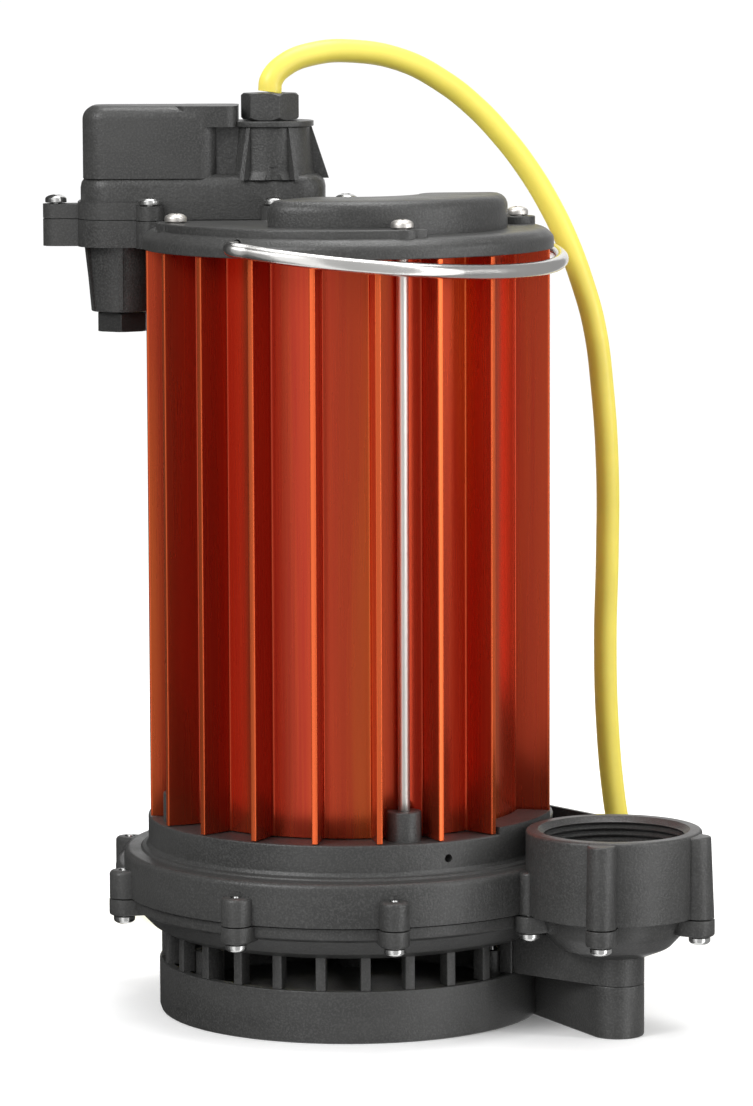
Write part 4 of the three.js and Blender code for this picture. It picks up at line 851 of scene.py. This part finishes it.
def make_cap():
    shoulder = 267.4
    profile = [(0, CAP_LOW), (CAP_R, CAP_LOW), (CAP_R, shoulder), (CAP_R - 3.2, CAP_TOP), (0, CAP_TOP)]
    body = lathe(fillet(profile, (0, 0.4, 3, 6, 0), closed=False, steps=8), 192)
    pad = prism(fillet([*arc(AXIS, 66, -82, 24, 60), around(24, 30), around(-30, 6), around(-82, 30)],
                       [3] + [0] * 59 + [3, 1, 1, 1]), CAP_TOP - 1, PAD_TOP, 0.6)
    body = join(body, pad, make_hump())
    for azimuth in TIE_AZIMUTHS:
        join(body, rod(around(azimuth, TIE_R), CAP_BOSS_R, CAP_TOP - 1, PAD_TOP, 40, 0.5))
    motor = rod(AXIS, CAP_R, TUB_LOW - 1, CAP_LOW, 192)
    tub = join(shell(0, TUB_LOW, TUB_TOP, 0.15, 1.2), *cover_lobes(TUB_LOW, TUB_TOP, 0.15, 0.6))
    profile = [(0, PORT_LOW), (10.8, PORT_LOW), (13, PORT_HIGH), (0, PORT_HIGH)]
    port = lathe(fillet(profile, (0, 0.6, 0, 0), closed=False), 64, PORT)
    body = join(body, carve(tub, motor), port)
    for azimuth in (0, 60, 120, 180, 240, 300):
        rib = box(-RIB_HALF, RIB_HALF, -PORT_RIB, -8, PORT_LOW + 1, PORT_HIGH)
        join(body, turned(taper(rib, PORT_HIGH, PORT_LOW + 1, 0.8), azimuth, PORT))
    hollow = carve(shell(SWITCH_WALL, TUB_LOW + 2.5, TUB_TOP + 1), rod(AXIS, CAP_R + 2, 0, 400, 96))
    carve(body, shell(SWITCH_WALL, CAP_TOP - 2, TUB_TOP + 1), hollow, rod(PORT, PORT_BORE, PORT_LOW - 1, 280),
          rod(AXIS, 52, CAP_LOW - 1, CAP_LOW + 3, 96))
    for azimuth in TIE_AZIMUTHS:
        carve(body, rod(around(azimuth, TIE_R), TIE_HOLE, 255, 280, 24))
    for azimuth in (HANDLE_AZIMUTH, HANDLE_AZIMUTH + 180):
        start, end = around(azimuth, CAP_R - 7), around(azimuth, CAP_R + 3)
        carve(body, bar((*start, HANDLE_Z), (*end, HANDLE_Z), HANDLE_ROD + 0.35))
    finish_piece(body, "top_cap_fine", PLASTIC, nodes=("top_cap",), slot="body_plastic")


def dome_outline(inset):
    return rounded_box(SWITCH_LEFT + 2 + inset, DOME_RIGHT - inset, SWITCH_Y - 14 + inset,
                       SWITCH_Y + 14 - inset, 8 - inset)


def make_switch_cover():
    body = shell(0, COVER_LOW, COVER_FLANGE_TOP, 0.5, 0.25)
    body = join(body, *cover_lobes(COVER_LOW, COVER_FLANGE_TOP - 1, 0.4, 0.25))
    belly = shell(1, COVER_FLANGE_TOP - 1, BELLY_TOP, 4.8)
    dome = prism(dome_outline(0), BELLY_TOP - 1.5, DOME_TOP, 4.6, 0, 8)
    bridge = prism(rounded_box(-52, TOWER[0], SWITCH_Y - 9, SWITCH_Y + 9, 3), BELLY_TOP - 1, TOWER_TOP - 1.6)
    back = prism(rounded_box(-60, BRIDGE_RIGHT, SWITCH_Y - 13.4, SWITCH_Y + 13.4, 4.8),
                 BRIDGE_LOW, DOME_TOP - 0.1, 4.4, 0.4, 8)
    profile = [(0, BELLY_TOP - 2), (TOWER_R + 2.6, BELLY_TOP - 2), (TOWER_R + 1.4, BELLY_TOP + 0.8),
               (TOWER_R + 0.3, TOWER_TOP - 2.1), (DISC_R, TOWER_TOP - 1.9), (DISC_R, TOWER_TOP),
               (0, TOWER_TOP)]
    tower = lathe(fillet(profile, (0, 0, 2.5, 0.3, 0.3, 0.35, 0), closed=False), 96, TOWER)
    body = join(body, belly, dome, bridge, back, tower)
    for azimuth in (-150, -30, 30, SIDE_RIB, 150):
        foot = SIDE_RIB_FOOT if azimuth == SIDE_RIB else RIB_FOOT
        rib = box(-RIB_HALF, RIB_HALF, -foot, -6, BELLY_TOP - 2, TOWER_TOP - 1.9)
        join(body, turned(taper(rib, BELLY_TOP - 2, TOWER_TOP - 2, RIB_TOP / foot), azimuth, TOWER))
    rim_groove = carve(shell(2, COVER_LOW - 1, COVER_LOW + 0.8), shell(4.5, COVER_LOW - 2, COVER_LOW + 2))
    carve(body, rim_groove, shell(3, COVER_LOW - 1, BELLY_TOP - 2.5),
          prism(dome_outline(2.5), BELLY_TOP - 4, DOME_TOP - 3.5),
          rod(TOWER, 9.3, BELLY_TOP - 4, TOWER_TOP - 7.2), rod(TOWER, 6.7, TOWER_TOP - 8, TOWER_TOP + 1),
          rod(around(TIE_AZIMUTHS[2], TIE_R), 6.8, COVER_LOW - 1, COVER_FLANGE_TOP + 1))
    for centre in COVER_SCREWS.values():
        carve(body, rod(centre, 2, COVER_LOW - 1, COVER_FLANGE_TOP + 12, 24),
              rod(centre, 4.1, COVER_FLANGE_TOP - 0.9, COVER_FLANGE_TOP + 12, 40))
    finish_piece(body, "switch_cover_fine", PLASTIC, nodes=("switch_cover",), slot="body_plastic")


# Gland nut, its rubber sleeve and the port's plug
def chamfered_hex(centre, radius, turn, low, high, chamfer):
    corners = [around(turn + 60 * i, radius, centre) for i in range(6)]
    nut = prism(fillet(corners, 0.5, steps=3), low, high)
    outer, inner = radius + 0.2, radius - chamfer
    cone = lathe([(0, low), (inner, low), (outer, low + chamfer), (outer, high - chamfer), (inner, high),
                  (0, high)], 96, centre)
    return combine(nut, [cone], "INTERSECT")


def make_gland():
    nut = chamfered_hex(TOWER, 10.3, 20, TOWER_TOP + 0.3, NUT_TOP, 1.1)
    nut = join(nut, rod(TOWER, 6.3, TOWER_TOP - 6, TOWER_TOP + 1))
    mouth = lathe([(0, 290), (5.8, 290), (5.8, NUT_TOP - 4), (4.7, NUT_TOP - 3.4), (4.7, NUT_TOP - 0.8),
                   (5.6, NUT_TOP + 0.1), (5.6, NUT_TOP + 2), (0, NUT_TOP + 2)], 64, TOWER)
    finish_piece(carve(nut, mouth), "cord_gland_nut_fine", PLASTIC,
                 nodes=("cord_gland_nut",), slot="body_plastic")
    profile = [(2.6, TOWER_TOP - 5), (5.3, TOWER_TOP - 5), (5.3, NUT_TOP - 4.4), (4.3, NUT_TOP - 3.6),
               (4.3, NUT_TOP - 0.5), (2.6, NUT_TOP - 0.5)]
    grommet = lathe(fillet(profile, 0.25, steps=2), 48, TOWER)
    finish_piece(grommet, "cord_grommet_fine", RUBBER, nodes=("cord_grommet",), slot="rubber")
    plug = chamfered_hex(PORT, 9.6, 0, PORT_LOW - 6.9, PORT_LOW - 0.3, 0.7)
    plug = join(plug, rod(PORT, 6.2, PORT_LOW - 1, PORT_LOW + 11))
    finish_piece(plug, "port_plug_fine", DARK_PLASTIC, nodes=("port_plug",), slot="body_plastic")


# Bail handle: a rod bent to a half circle, its ends turned in to the pivots
def make_handle():
    count, tuck, pivot = 30, 1.2, CAP_R - 5
    local = [(pivot, 0)]
    for i in range(count + 1):
        angle = math.pi * i / count
        radius = HANDLE_R - tuck * (1 - min(1, min(i, count - i) / 2))
        local.append((radius * math.cos(angle), radius * math.sin(angle)))
    local.append((-pivot, 0))
    front = around(HANDLE_AZIMUTH, 1)
    place = (Matrix.Translation((0, 0, HANDLE_Z)) @ Matrix.Rotation(math.atan2(front[1], front[0]), 4, "Z")
             @ Matrix.Rotation(math.radians(-HANDLE_DROOP), 4, "X"))
    source = bent_rod("bail_source", [place @ Vector((x, y, 0)) for x, y in local], HANDLE_ROD, 10, 7)
    graph = bpy.context.evaluated_depsgraph_get()
    mesh = bpy.data.meshes.new_from_object(source.evaluated_get(graph))
    obj = bpy.data.objects.new("bail", mesh)
    bpy.context.scene.collection.objects.link(obj)
    bpy.data.objects.remove(source)
    finish_piece(obj, "bail_handle_fine", ROD_STEEL, "handle", ("bail_handle",), slot="stainless")


# The working parts inside keep their CAD shape and get their own materials
def dress_cad_nodes():
    slots = {entry["node"]: entry["material_slot"] for entry in frame["record"]["subparts"]}
    for name, obj in frame["nodes"].items():
        material = SLOT_MATERIALS[slots[name]]
        obj.data.materials.clear()
        obj.data.materials.append(material)


# Stage: a paper floor, a grey sheet, and grey cards that stand in for a studio's dark and bright walls
FLOOR_SIZE, FLAG_SIZE, FLAG_LEVEL, FLAG_HEIGHT = 60.0, 4.0, 0.55, -0.002
CARD_DISTANCE, CARD_LOW, CARD_HIGH = 0.46, -0.7, 1.1
# Each card runs from one azimuth to another and has its brightness; only reflections see it
CARDS = ((-165, -92, 0.05), (-92, -60, 0.1), (-60, -38, 0.4), (-38, -12, 1.1), (-12, 14, 0.52),
         (14, 38, 0.55), (38, 56, 2.4), (56, 80, 0.3), (80, 150, 0.34))


def stage_paint(name, colour, roughness, glow, strength, specular):
    paint = Nodes(name, colour, roughness)
    paint.set("Emission Color", (glow, glow, glow, 1))
    paint.set("Emission Strength", strength)
    paint.set("Specular IOR Level", specular)
    return paint.material


def stage_object(name, bm, material):
    """A part of the stage, from a mesh in metres."""
    mesh = bpy.data.meshes.new(name)
    bm.to_mesh(mesh)
    bm.free()
    mesh.materials.append(material)
    obj = bpy.data.objects.new(name, mesh)
    bpy.context.scene.collection.objects.link(obj)
    return obj


def make_card(start, end, level):
    outline = arc(AXIS, CARD_DISTANCE, start, end, 8)
    bm = bmesh.new()
    low = [bm.verts.new((x, y, CARD_LOW)) for x, y in outline]
    high = [bm.verts.new((x, y, CARD_HIGH)) for x, y in outline]
    for i in range(len(outline) - 1):
        bm.faces.new((low[i], low[i + 1], high[i + 1], high[i]))
    card = stage_object("card", bm, stage_paint("card_paint", (0, 0, 0), 1.0, level, 1.0, 0.0))
    card.visible_camera = False
    card.visible_diffuse = False
    card.visible_shadow = False
    card.visible_transmission = False


def make_sheet(name, size, material):
    bm = bmesh.new()
    bmesh.ops.create_grid(bm, x_segments=1, y_segments=1, size=size)
    return stage_object(name, bm, material)


def make_flag():
    """A grey sheet in the floor's place for bounced light, so that the undersides stay dark."""
    flag = make_sheet("flag", FLAG_SIZE, stage_paint("flag_paint", (0, 0, 0), 1.0, FLAG_LEVEL, 1.0, 0.5))
    flag.location.z = FLAG_HEIGHT
    flag.visible_camera = False
    flag.visible_glossy = False
    flag.visible_shadow = False
    flag.visible_transmission = False


def make_stage():
    paper = stage_paint("paper", (0.97, 0.97, 0.97), 0.8, 1, 0.07, 0.1)
    floor = make_sheet("floor", FLOOR_SIZE, paper)
    floor.visible_glossy = False
    floor.visible_diffuse = False
    make_flag()

    world = bpy.data.worlds.new("studio")
    bpy.context.scene.world = world
    world.use_nodes = True
    background = world.node_tree.nodes["Background"]
    background.inputs["Color"].default_value = (1, 1, 1, 1)
    background.inputs["Strength"].default_value = 1.0
    for start, end, level in CARDS:
        make_card(start, end, level)

    def area(name, place, aim, size, power):
        data = bpy.data.lights.new(name, "AREA")
        data.shape = "RECTANGLE"
        data.size, data.size_y = size
        data.energy = power
        light = bpy.data.objects.new(name, data)
        bpy.context.scene.collection.objects.link(light)
        direction = Vector(aim) - Vector(place)
        light.matrix_world = (Matrix.Translation(place)
                              @ direction.to_track_quat("-Z", "Y").to_matrix().to_4x4())

    middle = (0.0, 0.0, 0.17)
    area("key", (-1.0, -1.0, 1.2), middle, (0.5, 0.7), 14)
    area("right_strip", (1.25, -0.45, 0.5), middle, (0.2, 1.0), 7)
    area("top", (0.1, 0.2, 1.5), middle, (0.8, 0.6), 8)
    bpy.context.scene.view_settings.view_transform = "Standard"


make_screws()
make_upper_volute()
make_lower_volute()
make_base()
make_housing()
make_cap()
make_switch_cover()
make_gland()
make_handle()
dress_cad_nodes()
make_stage()
